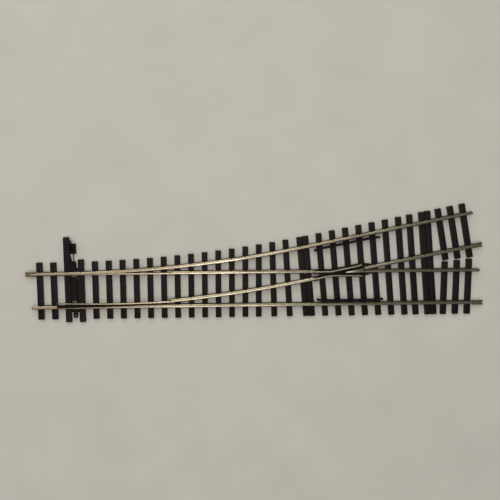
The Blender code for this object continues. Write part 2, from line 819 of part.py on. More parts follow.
def build_crossing_bed(look):
    sleepers = crossing_sleepers()
    bed = boxes("bed_crossing", [sleeper_box(spec) for spec in sleepers])
    lean = math.tan(BRANCH_ANGLE / 2)
    low, high = first_double() + DOUBLE_SPREAD, second_double() - DOUBLE_SPREAD
    far_low = low - CROSSING_OUTER_REACH * lean
    far_high = high - EXIT_OUTER_REACH * lean
    inner = 2 * RAIL_OFFSET * lean
    strips = [
        through_strip("rib_crossing_through", low, high, -RAIL_OFFSET),
        branch_strip("rib_crossing_branch", far_low, far_high, RAIL_OFFSET),
        through_strip("rib_crossing_inner_through", low - inner, high - inner, RAIL_OFFSET),
        branch_strip("rib_crossing_inner_branch", low - inner, high - EXIT_INNER_REACH * lean, -RAIL_OFFSET),
    ]
    combine(bed, "UNION", *strips)
    combine(bed, "UNION", boxes("chairs_crossing", chair_boxes(sleepers)))
    floor_low = STRIP_LOW + 2 * BRANCH_RIB_INSET
    combine(bed, "UNION", outline("crossing_floor", crossing_floor(), floor_low, STRIP_HIGH - GAP))
    x = first_double() + CROSSING_GAP + CROSSING_HOLE_SLEEPER * CROSSING_PITCH
    start, direction = sleeper_line(x, BRANCH_ANGLE / 2)
    spot = start + CROSSING_HOLE_REACH * direction
    bottom, top = spot + Vector((0, 0, -CUT)), spot + Vector((0, 0, SLEEPER_TOP + CUT))
    combine(bed, "DIFFERENCE", cylinder("crossing_fixing_hole", CROSSING_HOLE_RADIUS, bottom, top))
    finish(bed, "bed_crossing", look)


def crossing_floor():
    """The web that fills the throat of the crossing between the wing rails."""
    half = STRIP_WIDTH / 2
    spread = FLANGEWAY + HEAD_WIDTH + half
    left, throat, wide, right = THROAT_X
    return [
        (left, branch_y(left, -RAIL_OFFSET) - half),
        (throat, RAIL_OFFSET - spread),
        (wide, RAIL_OFFSET - spread),
        (right, RAIL_OFFSET - half / 2),
        (right, branch_y(right, -RAIL_OFFSET) + half / 2),
        (wide, branch_y(wide, -RAIL_OFFSET) + spread),
        (throat, RAIL_OFFSET + half),
        (left, RAIL_OFFSET + half),
    ]


def build_exit_bed(look):
    sleepers = exit_sleepers()
    bed = boxes("bed_exit", [sleeper_box(spec) for spec in sleepers])
    lean = math.tan(BRANCH_ANGLE / 2)
    low = second_double() + DOUBLE_SPREAD
    last = SHORT_START + (SHORT_SLEEPERS - 1) * SHORT_PITCH
    branch_last = [branch_point(last, side * RAIL_OFFSET).x for side in (1, -1)]
    strips = [
        through_strip("rib_exit_through", low, last, -RAIL_OFFSET),
        through_strip("rib_exit_inner_through", low - 2 * RAIL_OFFSET * lean, last, RAIL_OFFSET),
        branch_strip("rib_exit_branch", low - EXIT_OUTER_REACH * lean, branch_last[0], RAIL_OFFSET),
        branch_strip("rib_exit_inner_branch", low - EXIT_INNER_REACH * lean, branch_last[1], -RAIL_OFFSET),
    ]
    combine(bed, "UNION", *strips)
    combine(bed, "UNION", boxes("chairs_exit", exit_chairs(sleepers)))
    finish(bed, "bed_exit", look)


def exit_chairs(sleepers):
    """Chairs on the double plank as elsewhere, and on each short sleeper for its own two rails."""
    specs = chair_boxes(sleepers[:1])
    reach = FOOT_WIDTH / 2 + GAP + CHAIR_WIDTH / 2
    for index in range(SHORT_SLEEPERS):
        distance = SHORT_START + index * SHORT_PITCH
        for offset in (-RAIL_OFFSET, RAIL_OFFSET):
            seats = [(Vector((distance, offset, 0)), 0.0)]
            seats.append((branch_point(distance, offset), BRANCH_ANGLE))
            for point, heading in seats:
                for side in (-1, 1):
                    near, far = side * reach - CHAIR_WIDTH / 2, side * reach + CHAIR_WIDTH / 2
                    low = (-CHAIR_LENGTH / 2, near, SLEEPER_TOP - CHAIR_BEDDING)
                    specs.append((low, (CHAIR_LENGTH / 2, far, CHAIR_TOP), point, heading))
    return specs


# ---------------------------------------------------------------- rails and switch


def blade_width(x):
    """The width that a planed blade has left at X."""
    if x < BLADE_WAIST:
        share = (x - BLADE_TIP) / (BLADE_WAIST - BLADE_TIP)
        return BLADE_TIP_WIDTH + share * (BLADE_WAIST_WIDTH - BLADE_TIP_WIDTH)
    share = min((x - BLADE_WAIST) / (BLADE_FULL - BLADE_WAIST), 1.0)
    return BLADE_WAIST_WIDTH + share * (HEAD_WIDTH - BLADE_WAIST_WIDTH)


def planing_stations():
    """The X values at which the planing changes, from the tip to where a stock rail is whole."""
    stops = [BLADE_TIP + (BLADE_WAIST - BLADE_TIP) * i / TIP_STEPS for i in range(TIP_STEPS)]
    stops += [BLADE_WAIST + (BLADE_FULL - BLADE_WAIST) * i / TAPER_STEPS for i in range(TAPER_STEPS + 1)]
    return stops + [FOOT_CLEAR]


def gauge_face(x, side):
    """The running face of the closed blade: straight on the +Y side, on the branch arc on the other."""
    if side > 0:
        return GAUGE / 2
    return branch_y(x, -GAUGE / 2)


def back_face(x, side):
    return gauge_face(x, side) + side * blade_width(x)


def blade_cutter(side):
    """What planing takes off the stock-rail side of a blade."""
    name = "planing_straight" if side > 0 else "planing_curved"
    stops = [BLADE_TIP - CUT] + planing_stations()[1:-1]
    points = [(x, back_face(max(x, BLADE_TIP), side)) for x in stops]
    far = side * PLANED_BACK
    points += [(BLADE_FULL, far), (BLADE_TIP - CUT, far)]
    return outline(name, points, BLADE_Z - CUT, HEAD_Z + CUT)


def stock_cutter(side):
    """The recess in a stock rail that the closed blade lies in."""
    name = "recess_curved" if side > 0 else "recess_straight"
    stops = planing_stations()
    start = BLADE_TIP - CUT
    points = [(start, back_face(BLADE_TIP, side) + side * BLADE_CLEARANCE)]
    points += [(x, back_face(x, side) + side * BLADE_CLEARANCE) for x in stops]
    near = side * RECESS_INSIDE
    points += [(FOOT_CLEAR, near), (start, near)]
    return outline(name, points, FOOT_Z - CUT, HEAD_Z + CUT)


def build_stock_rails(look):
    path = through_path(0, THROUGH_LENGTH, -RAIL_OFFSET)
    straight = sweep("stock_rail_straight", rail_section(), path)
    combine(straight, "DIFFERENCE", stock_cutter(-1))
    curved = sweep("stock_rail_curved", rail_section(), branch_path(0, BRANCH_LENGTH, RAIL_OFFSET))
    combine(curved, "DIFFERENCE", stock_cutter(1))
    finish(straight, "stock_rail_straight", look)
    finish(curved, "stock_rail_curved", look)


def build_blades(look, pin_look):
    """Both blades, their lugs and heel pins; the curved blade stands open."""
    heel_end = HEEL_JOINT - JOINT_HALF_GAP
    section = planed_section(BLADE_Z)
    straight = sweep("blade_straight", section, through_path(BLADE_TIP, heel_end, RAIL_OFFSET))
    combine(straight, "DIFFERENCE", blade_cutter(1))
    start, end = (branch_distance(x, -RAIL_OFFSET) for x in (BLADE_TIP, heel_end))
    distances = [start + (end - start) * i / BLADE_STEPS for i in range(BLADE_STEPS + 1)]
    path = [branch_point(distance, -RAIL_OFFSET) for distance in distances]
    curved = sweep("blade_curved", section, path)
    combine(curved, "DIFFERENCE", blade_cutter(-1))
    for side, blade, word in ((1, straight, "straight"), (-1, curved, "curved")):
        heel = Vector((HEEL_X, RAIL_OFFSET if side > 0 else heel_y(), 0))
        turn = 0.0 if side > 0 else -blade_swing()
        ends = [heel + Vector((0, 0, z)) for z in (HEEL_PIN_LOW, LUG_TOP)]
        pin = cylinder(f"heel_pin_{word}", HEEL_PIN_RADIUS, *ends)
        for piece, name, piece_look in (
            (blade, f"blade_{word}", look),
            (build_lug(side, word), f"blade_lug_{word}", pin_look),
            (pin, f"heel_pin_{word}", pin_look),
        ):
            set_on_joint(piece, heel, turn)
            finish(piece, name, piece_look)


def blade_swing():
    """The angle that a blade swings through, from the tie bar's throw and its distance from the heel."""
    return THROW / (HEEL_X - TIE_X)


def lug_bow(side):
    """How far the branch arc has moved the curved blade in from the straight one's mirror image."""
    return 0.0 if side > 0 else gauge_face(TIE_X, -1) + GAUGE / 2


def build_lug(side, word):
    """The plate under a blade, with the pin that the tie bar moves it by."""
    half = TIE_WIDTH / 2
    bow = lug_bow(side)
    ys = sorted((side * LUG_INNER + bow, side * LUG_OUTER + bow))
    low = (TIE_X - half, ys[0], LUG_TOP - LUG_THICKNESS)
    plate = box(f"blade_lug_{word}", low, (TIE_X + half, ys[1], LUG_TOP))
    centre = Vector((TIE_X, side * LUG_PIN_Y + bow, 0))
    heights = (TIE_LOW + LUG_PIN_RAISED, LUG_TOP - LUG_THICKNESS / 2)
    ends = [centre + Vector((0, 0, z)) for z in heights]
    return combine(plate, "UNION", cylinder(f"lug_pin_{word}", LUG_PIN_RADIUS, *ends))


def build_closure_rails(look):
    start = HEEL_JOINT + JOINT_HALF_GAP
    end = INSULATION_X - INSULATION_HALF_GAP
    straight = sweep("closure_rail_straight", rail_section(), through_path(start, end, RAIL_OFFSET))
    distances = [branch_distance(x, -RAIL_OFFSET) for x in (start, end)]
    curved = sweep("closure_rail_curved", rail_section(), branch_path(*distances, -RAIL_OFFSET))
    finish(straight, "closure_rail_straight", look)
    finish(curved, "closure_rail_curved", look)


def wing_paths():
    """The centre lines of the two wing rails, each bent at its knuckle and flared at its end."""
    spread = FLANGEWAY + HEAD_WIDTH
    start = INSULATION_X + INSULATION_HALF_GAP
    slope = math.tan(BRANCH_ANGLE)
    meet = crossing_x()
    rise = spread / math.cos(BRANCH_ANGLE)
    along = Vector((math.cos(BRANCH_ANGLE), math.sin(BRANCH_ANGLE), 0))
    knuckle = Vector((meet - rise / slope, RAIL_OFFSET, 0))
    upper_end = knuckle + along * (WING_END - knuckle.x)
    flare = BRANCH_ANGLE + FLARE_ANGLE
    upper_tip = upper_end + WING_FLARE * Vector((math.cos(flare), math.sin(flare), 0))
    upper = [Vector((start, RAIL_OFFSET, 0)), knuckle, upper_end, upper_tip]
    lower_y = RAIL_OFFSET - spread
    lower_knuckle = Vector((meet - spread / slope, lower_y, 0))
    lower_end = Vector((WING_END, lower_y, 0))
    lower_tip = lower_end + WING_FLARE * Vector((math.cos(FLARE_ANGLE), -math.sin(FLARE_ANGLE), 0))
    lower_start = Vector((start, lower_y - (lower_knuckle.x - start) * slope, 0))
    return upper, [lower_start, lower_knuckle, lower_end, lower_tip]


def nose_outline():
    """The vee of the crossing, between the running faces that meet at its point."""
    half = HEAD_WIDTH / 2
    slope = math.tan(BRANCH_ANGLE)
    lift = half / math.cos(BRANCH_ANGLE)
    meet = crossing_x()
    end = CROSSING_END - JOINT_HALF_GAP
    point_x = meet - (half + lift) / slope
    tip = point_x + NOSE_SET_BACK

    fork = meet + (half + lift) / slope
    back = math.sin(BRANCH_ANGLE) * half

    def branch_line(x, shift):
        return RAIL_OFFSET + (x - meet) * slope + shift

    return [
        (tip, RAIL_OFFSET - half),
        (end, RAIL_OFFSET - half),
        (end, RAIL_OFFSET + half),
        (fork, RAIL_OFFSET + half),
        (end - back, branch_line(end, -lift)),
        (end - 3 * back, branch_line(end, lift)),
        (tip, branch_line(tip, lift)),
    ]


def build_crossing(look):
    upper, lower = wing_paths()
    section = planed_section(FOOT_Z)
    finish(sweep("wing_rail_branch_side", section, upper), "wing_rail_branch_side", look)
    finish(sweep("wing_rail_through_side", section, lower), "wing_rail_through_side", look)
    finish(outline("crossing_nose", nose_outline(), FOOT_Z, HEAD_Z), "crossing_nose", look)


def build_exit_rails(look):
    start = CROSSING_END + JOINT_HALF_GAP
    straight = through_path(start, THROUGH_LENGTH, RAIL_OFFSET)
    curved = branch_path(branch_distance(start, -RAIL_OFFSET), BRANCH_LENGTH, -RAIL_OFFSET)
    through = sweep("exit_rail_through", rail_section(), straight)
    branch = sweep("exit_rail_branch", rail_section(), curved)
    combine(through, "DIFFERENCE", exit_foot_cutter("through", 1))
    combine(branch, "DIFFERENCE", exit_foot_cutter("branch", -1))
    finish(through, "exit_rail_through", look)
    finish(branch, "exit_rail_branch", look)


def exit_foot_cutter(track, away):
    """Trims a foot on the side away from the rail's own track, until the two rails have drawn apart."""
    meet = crossing_x()
    start = CROSSING_END - CUT
    end = meet + (FOOT_WIDTH + 2 * GAP) / math.tan(BRANCH_ANGLE) + FOOT_TRIM_RUN
    slope = math.tan(BRANCH_ANGLE / 2)
    middle = [(x, RAIL_OFFSET + (x - meet) * slope) for x in (start, end)]
    near = [(x, y - away * GAP / 2) for x, y in middle]
    far = [(x, y + away * FOOT_TRIM_DEPTH) for x, y in reversed(middle)]
    return outline(f"foot_trim_{track}", near + far, FOOT_Z - CUT, FOOT_Z + FOOT_RISE)


def build_guard_rails(look):
    section = bar_section(GUARD_WIDTH, FOOT_Z, FOOT_Z + GUARD_HEIGHT)
    y = -RAIL_OFFSET + GUARD_OFFSET
    flare_y = GUARD_FLARE * math.tan(FLARE_ANGLE)
    start, end = GUARD_THROUGH_START, GUARD_THROUGH_START + GUARD_LENGTH
    through = [
        Vector((start, y + flare_y, 0)),
        Vector((start + GUARD_FLARE, y, 0)),
        Vector((end - GUARD_FLARE, y, 0)),
        Vector((end, y + flare_y, 0)),
    ]
    finish(sweep("guard_rail_through", section, through), "guard_rail_through", look)
    offset = RAIL_OFFSET - GUARD_OFFSET
    first = branch_distance(GUARD_BRANCH_START, offset)
    last = first + GUARD_LENGTH
    branch = [
        branch_point(first, offset - flare_y),
        branch_point(first + GUARD_FLARE, offset),
        branch_point(last - GUARD_FLARE, offset),
        branch_point(last, offset - flare_y),
    ]
    finish(sweep("guard_rail_branch", section, branch), "guard_rail_branch", look)


def build_joiners(metal, plastic):
    half = JOINER_LENGTH / 2
    toe = through_path(-half, half, RAIL_OFFSET)
    through = through_path(THROUGH_LENGTH - half, THROUGH_LENGTH + half, -RAIL_OFFSET)
    branch = [branch_point(BRANCH_LENGTH + side * half, -RAIL_OFFSET) for side in (-1, 1)]
    spots = {"rail_joiner_toe": toe, "rail_joiner_through": through, "rail_joiner_branch": branch}
    heel = HEEL_JOINER_LENGTH / 2
    straight = through_path(HEEL_JOINT - heel, HEEL_JOINT + heel, RAIL_OFFSET)
    distance = branch_distance(HEEL_JOINT, -RAIL_OFFSET)
    curved = [branch_point(distance + side * heel, -RAIL_OFFSET) for side in (-1, 1)]
    spots |= {"heel_joiner_straight": straight, "heel_joiner_curved": curved}
    for name, path in spots.items():
        finish(sweep(name, joiner_section(), path), name, metal)
    build_insulated_joiners(plastic)


def build_insulated_joiners(look):
    """Plastic joiners at the cuts before the crossing, each with a fin that keeps the rails apart."""
    half = INSULATION_LENGTH / 2
    distance = branch_distance(INSULATION_X, -RAIL_OFFSET)
    spots = (
        ("straight", Vector((INSULATION_X, RAIL_OFFSET, 0)), 0.0),
        ("curved", branch_point(distance, -RAIL_OFFSET), BRANCH_ANGLE),
    )
    for word, centre, turn in spots:
        along = Vector((math.cos(turn), math.sin(turn), 0))
        name = f"insulated_joiner_{word}"
        body = sweep(name, joiner_section(), [centre - half * along, centre + half * along])
        reach = HEAD_WIDTH / 2
        low = (-INSULATION_FIN, -reach, SLEEPER_TOP - JOINER_WALL / 2)
        high = (INSULATION_FIN, reach, HEAD_Z - FIN_DROP)
        fin = boxes(f"fin_{word}", [(low, high, centre, turn)])
        combine(body, "UNION", fin)
        finish(body, name, look)


# ---------------------------------------------------------------- tie bar and lever


def tie_point():
    """A point on the line that the tie bar slides along."""
    return Vector((TIE_X, 0, (TIE_LOW + TIE_HIGH) / 2))


def build_tie_bar(look, pin_look):
    half = TIE_WIDTH / 2
    bar = box("tie_bar", (TIE_X - half, TIE_TAIL_Y, TIE_LOW), (TIE_X + half, TIE_DRIVE_Y, TIE_HIGH))
    for word, y in (("tail", TIE_TAIL_Y), ("drive", TIE_DRIVE_Y)):
        ends = ((TIE_X, y, TIE_LOW), (TIE_X, y, TIE_HIGH))
        combine(bar, "UNION", cylinder(f"tie_end_{word}", half, *ends, ROUND_SIDES))
    slot_radius = LUG_PIN_RADIUS + PIN_CLEARANCE
    holes = (
        ("tail", TIE_TAIL_Y, TIE_HOLE_RADIUS),
        ("drive", TIE_DRIVE_Y, TIE_DRIVE_RADIUS),
        ("straight", LUG_PIN_Y, slot_radius),
        ("curved", -LUG_PIN_Y + lug_bow(-1) + THROW, slot_radius),
    )
    for word, y, radius in holes:
        ends = ((TIE_X, y, TIE_LOW - CUT), (TIE_X, y, TIE_HIGH + CUT))
        combine(bar, "DIFFERENCE", cylinder(f"tie_hole_{word}", radius, *ends, ROUND_SIDES))
    set_on_joint(bar, tie_point())
    finish(bar, "tie_bar", look)
    eye = (TIE_X, TIE_DRIVE_Y)
    stud = cylinder("drive_stud", STUD_RADIUS, (*eye, STUD_LOW), (*eye, STUD_SHANK_TOP), ROUND_SIDES)
    head_ends = ((*eye, STUD_HEAD_LOW), (*eye, STUD_HEAD_TOP))
    combine(stud, "UNION", cylinder("stud_head", STUD_HEAD_RADIUS, *head_ends, ROUND_SIDES))
    set_on_joint(stud, tie_point())
    finish(stud, "drive_stud", pin_look)


def crank_point(reach):
    """A point on the lever's centre line at rest, at a distance from the axle."""
    return Vector((0, AXLE_Y + reach * math.cos(LEVER_REST), AXLE_Z + reach * math.sin(LEVER_REST)))


def build_connecting_rod(look):
    """The rod from the tie bar's stud, up over the axle to the fork that the crank pin works in."""
    eye = (TIE_X, TIE_DRIVE_Y)
    eye_ends = ((*eye, ROD_EYE_Z - ROD_EYE_HALF), (*eye, ROD_EYE_Z + ROD_EYE_HALF))
    ring = cylinder("connecting_rod", ROD_EYE_RADIUS, *eye_ends, ROUND_SIDES)
    hole_ends = ((*eye, eye_ends[0][2] - CUT), (*eye, eye_ends[1][2] + CUT))
    hole = cylinder("rod_eye_hole", ROD_EYE_HOLE, *hole_ends, ROUND_SIDES)
    pin_y = crank_point(CRANK_RADIUS).y
    path = [Vector((TIE_X, TIE_DRIVE_Y + ROD_EYE_OVERLAP, ROD_EYE_Z))]
    path += [Vector((ROD_X, y, z)) for y, z in ROD_BENDS]
    path.append(Vector((ROD_X, pin_y - FORK_SLOT - FORK_PRONG / 2, ROD_HIGH_Z)))
    shank = wire("rod_shank", ROD_RADIUS, path)
    half = FORK_SLOT + FORK_PRONG
    left, right = ROD_X - FORK_HALF, ROD_X + FORK_HALF
    fork = box("rod_fork", (left, pin_y - half, FORK_LOW), (right, pin_y + half, FORK_TOP))
    slot_low = (left - CUT, pin_y - FORK_SLOT, FORK_LOW - CUT)
    slot = box("fork_slot", slot_low, (right + CUT, pin_y + FORK_SLOT, FORK_SLOT_TOP))
    combine(ring, "UNION", shank, fork)
    combine(ring, "DIFFERENCE", hole, slot)
    set_on_joint(ring, tie_point())
    finish(ring, "connecting_rod", look, smooth=True)


def turned_bar(name, reaches, width, x_range):
    """A flat bar on the lever's line, between two distances from the axle."""
    bm = bmesh.new()
    size = Vector((x_range[1] - x_range[0], reaches[1] - reaches[0], width))
    middle = Vector(((x_range[0] + x_range[1]) / 2, 0, 0)) + crank_point((reaches[0] + reaches[1]) / 2)
    turned = Matrix.Translation(middle) @ Matrix.Rotation(LEVER_REST, 4, "X")
    bmesh.ops.create_cube(bm, size=1.0, matrix=turned @ Matrix.Diagonal((*size, 1.0)))
    return object_from(bm, name)


def crosswise(name, radius, centre, x_range, sides=SMALL_SIDES):
    """A cylinder parallel to the axle, through a centre in the lever's plane."""
    ends = [centre + Vector((x, 0, 0)) for x in x_range]
    return cylinder(name, radius, *ends, sides)


def build_lever(look):
    """The lever with its crank pin and weight peg, the weight, and the axle they turn on."""
    axle_point = Vector((0, AXLE_Y, AXLE_Z))
    crank, peg_centre = crank_point(CRANK_RADIUS), crank_point(WEIGHT_REACH)
    middle = (LEVER_X[0] + LEVER_X[1]) / 2
    hub = crosswise("lever_arm", HUB_RADIUS, axle_point, LEVER_X, ROUND_SIDES)
    bar = turned_bar("lever_bar", (0.0, LEVER_LENGTH), LEVER_WIDTH, LEVER_X)
    crank_pin = crosswise("crank_pin", CRANK_PIN_RADIUS, crank, (middle, CRANK_PIN_END))
    peg_span = (middle, WEIGHT_X[1] - WEIGHT_PEG_SHORT)
    peg = crosswise("weight_peg", WEIGHT_PEG_RADIUS, peg_centre, peg_span)
    bore_radius = AXLE_RADIUS + BEARING_CLEARANCE
    bore_span = (LEVER_X[0] - CUT, LEVER_X[1] + CUT)
    combine(hub, "UNION", bar, crank_pin, peg)
    combine(hub, "DIFFERENCE", crosswise("hub_bore", bore_radius, axle_point, bore_span, ROUND_SIDES))
    weight = crosswise("lever_weight", WEIGHT_RADIUS, peg_centre, WEIGHT_X, ROUND_SIDES)
    socket_radius = WEIGHT_PEG_RADIUS + BEARING_CLEARANCE
    socket_span = (WEIGHT_X[0] - CUT, WEIGHT_X[1] - WEIGHT_CAP)
    combine(weight, "DIFFERENCE", crosswise("weight_socket", socket_radius, peg_centre, socket_span))
    axle = crosswise("lever_axle", AXLE_RADIUS, axle_point, AXLE_ENDS, ROUND_SIDES)
    for piece, name in ((hub, "lever_arm"), (weight, "lever_weight"), (axle, "lever_axle")):
        set_on_joint(piece, axle_point)
        finish(piece, name, look, smooth=piece is not hub)


def build_lever_stand(look):
    """The bracket with two cheeks that carries the axle, screwed to the lug of the long headblock."""
    stand = box("lever_stand", (STAND_X[0], STAND_Y[0], STAND_LOW), (STAND_X[1], STAND_Y[1], STAND_PLATE))
    for word, (x0, x1) in (("left", CHEEK_LEFT), ("right", CHEEK_RIGHT)):
        cheek = box(f"cheek_{word}", (x0, CHEEK_Y[0], STAND_LOW + ROOT), (x1, CHEEK_Y[1], STAND_HIGH))
        combine(stand, "UNION", cheek)
    axle_point = Vector((0, AXLE_Y, AXLE_Z))
    span = (STAND_X[0] - CUT, STAND_X[1] + CUT)
    bearing = crosswise("axle_bearing", AXLE_RADIUS + BEARING_CLEARANCE, axle_point, span, ROUND_SIDES)
    combine(stand, "DIFFERENCE", bearing)
    for index, y in enumerate(SCREW_Y):
        ends = ((SCREW_X, y, STAND_LOW - CUT), (SCREW_X, y, STAND_PLATE + CUT))
        hole = cylinder(f"stand_screw_hole_{index}", SCREW_RADIUS + BEARING_CLEARANCE, *ends)
        combine(stand, "DIFFERENCE", hole)
    finish(stand, "lever_stand", look)
    head_low = STAND_PLATE + SCREW_HEAD_GAP
    for index, y in enumerate(SCREW_Y):
        name = f"stand_screw_{index + 1}"
        shank = cylinder(name, SCREW_RADIUS, (SCREW_X, y, SCREW_LOW), (SCREW_X, y, head_low + ROOT))
        ends = ((SCREW_X, y, head_low), (SCREW_X, y, head_low + SCREW_HEAD_HEIGHT))
        head = cylinder(f"screw_head_{index}", SCREW_HEAD_RADIUS, *ends)
        finish(combine(shank, "UNION", head), name, look)


# ---------------------------------------------------------------- assembly


def centre_on_origin():
    """Hangs every object on one empty that puts the middle of the base at the origin."""
    bpy.context.view_layer.update()
    graph = bpy.context.evaluated_depsgraph_get()
    corners = []
    for obj in bpy.data.collections[PARTS].objects:
        evaluated = obj.evaluated_get(graph)
        corners += [obj.matrix_world @ Vector(corner) for corner in evaluated.bound_box]
    low = [min(corner[axis] for corner in corners) for axis in range(3)]
    high = [max(corner[axis] for corner in corners) for axis in range(3)]
    frame = bpy.data.objects.new("turnout_frame", None)
    bpy.data.collections[PARTS].objects.link(frame)
    for obj in list(bpy.data.objects):
        if obj is not frame:
            obj.parent = frame
    frame.location = (-(low[0] + high[0]) / 2, -(low[1] + high[1]) / 2, -low[2])
    bpy.context.view_layer.update()


def main():
    clear_scene()
    collection_named(PARTS)
    collection_named(CUTTERS)
    looks = {name: material(name) for name in LOOKS}
    rail, steel, blackened = looks["nickel_silver_rail"], looks["pin_steel"], looks["blackened_steel"]
    build_toe_bed(looks["sleeper_plastic"])
    build_crossing_bed(looks["sleeper_plastic"])
    build_exit_bed(looks["sleeper_plastic"])
    build_stock_rails(rail)
    build_blades(rail, steel)
    build_closure_rails(rail)
    build_crossing(rail)
    build_exit_rails(rail)
    build_guard_rails(looks["black_moulding"])
    build_joiners(looks["joiner_metal"], looks["insulator_plastic"])
    build_tie_bar(looks["black_moulding"], steel)
    build_connecting_rod(blackened)
    build_lever(blackened)
    build_lever_stand(blackened)
    centre_on_origin()


main()
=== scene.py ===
"""Finished looks for a hand-thrown model railway turnout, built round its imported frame.

Each sub-assembly is a class that builds its pieces with bmesh operators and dresses them in a
finish. Lengths are in metres. Shapes are made in the track's own axes, where X runs along the
through track from its toe, Y = 0 is that track's centre line and Z = 0 the sleepers' underside,
and TrackPlan.origin then carries them to their place in the frame.
"""

import enum
import logging
import math
from collections.abc import Callable, Sequence
from dataclasses import dataclass, field

import bmesh
import bpy
from bpy.types import Node, NodeSocket, NodeTree
from mathutils import Matrix, Vector


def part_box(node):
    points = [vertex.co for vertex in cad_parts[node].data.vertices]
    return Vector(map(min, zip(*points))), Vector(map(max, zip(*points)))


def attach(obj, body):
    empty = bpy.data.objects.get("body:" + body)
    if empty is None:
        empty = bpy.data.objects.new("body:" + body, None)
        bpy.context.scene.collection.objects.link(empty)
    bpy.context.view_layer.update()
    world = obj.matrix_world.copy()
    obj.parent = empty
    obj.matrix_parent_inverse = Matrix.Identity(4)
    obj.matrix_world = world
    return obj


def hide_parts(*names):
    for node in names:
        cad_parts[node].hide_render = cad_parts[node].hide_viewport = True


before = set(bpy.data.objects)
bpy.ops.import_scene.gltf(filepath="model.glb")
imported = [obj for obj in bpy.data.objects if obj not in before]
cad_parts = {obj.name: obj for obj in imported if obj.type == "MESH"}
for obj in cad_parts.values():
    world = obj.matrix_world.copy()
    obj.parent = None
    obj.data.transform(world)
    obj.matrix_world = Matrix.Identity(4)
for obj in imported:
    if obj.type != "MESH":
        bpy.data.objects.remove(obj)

MM = 0.001
GRAIN = "grain"
SHARP_ANGLE = math.radians(38)
WELD_DISTANCE = 1e-7
ROUND_STEPS = 24
CORNER_STEPS = 5
SOLVER_STEPS = 20
BOTH_SIDES = (-1, 1)

log = logging.getLogger("turnout")


class Body(enum.Enum):
    """The rigid bodies of the frame that pieces ride on."""

    TRACK = "track"
    LEVER = "lever"
    TIE_BAR = "tie_bar"
    STRAIGHT_BLADE = "straight_blade"
    CURVED_BLADE = "curved_blade"


class Slot(enum.Enum):
    """The record's material slots."""

    SLEEPER = "sleeper_plastic"
    RAIL = "rail_metal"
    JOINER = "joiner_metal"
    MOULDING = "black_moulding"
    INSULATOR = "insulator"
    BLACKENED = "blackened_metal"
    STEEL = "pin_steel"


class Route(enum.Enum):
    """The two ways through the turnout, each with the side its switch blade closes to."""

    THROUGH = 1
    BRANCH = -1


# ------------------------------------------------------------------ finishes


def linear_rgba(code: str) -> tuple[float, float, float, float]:
    """Turns an sRGB hex colour into linear values.

    Args:
        code: six hex digits after a hash sign.

    Returns:
        Linear red, green and blue, and an alpha of one.
    """
    values = [int(code[i : i + 2], 16) / 255 for i in (1, 3, 5)]
    red, green, blue = (v / 12.92 if v <= 0.04045 else ((v + 0.055) / 1.055) ** 2.4 for v in values)
    return red, green, blue, 1.0


def add_node(
    tree: NodeTree, kind: str, inputs: dict | None = None, **settings: object
) -> Node:
    """Adds a node with its settings, and fills or links its inputs.

    Args:
        tree: the node tree that it goes in.
        kind: the node's type name.
        inputs: a constant or another node's output for each input, by name or number.
        **settings: the node's own properties.

    Returns:
        The new node.
    """
    node = tree.nodes.new(kind)
    for name, value in settings.items():
        setattr(node, name, value)
    for name, value in (inputs or {}).items():
        if isinstance(value, NodeSocket):
            tree.links.new(value, node.inputs[name])
        else:
            node.inputs[name].default_value = value
    return node


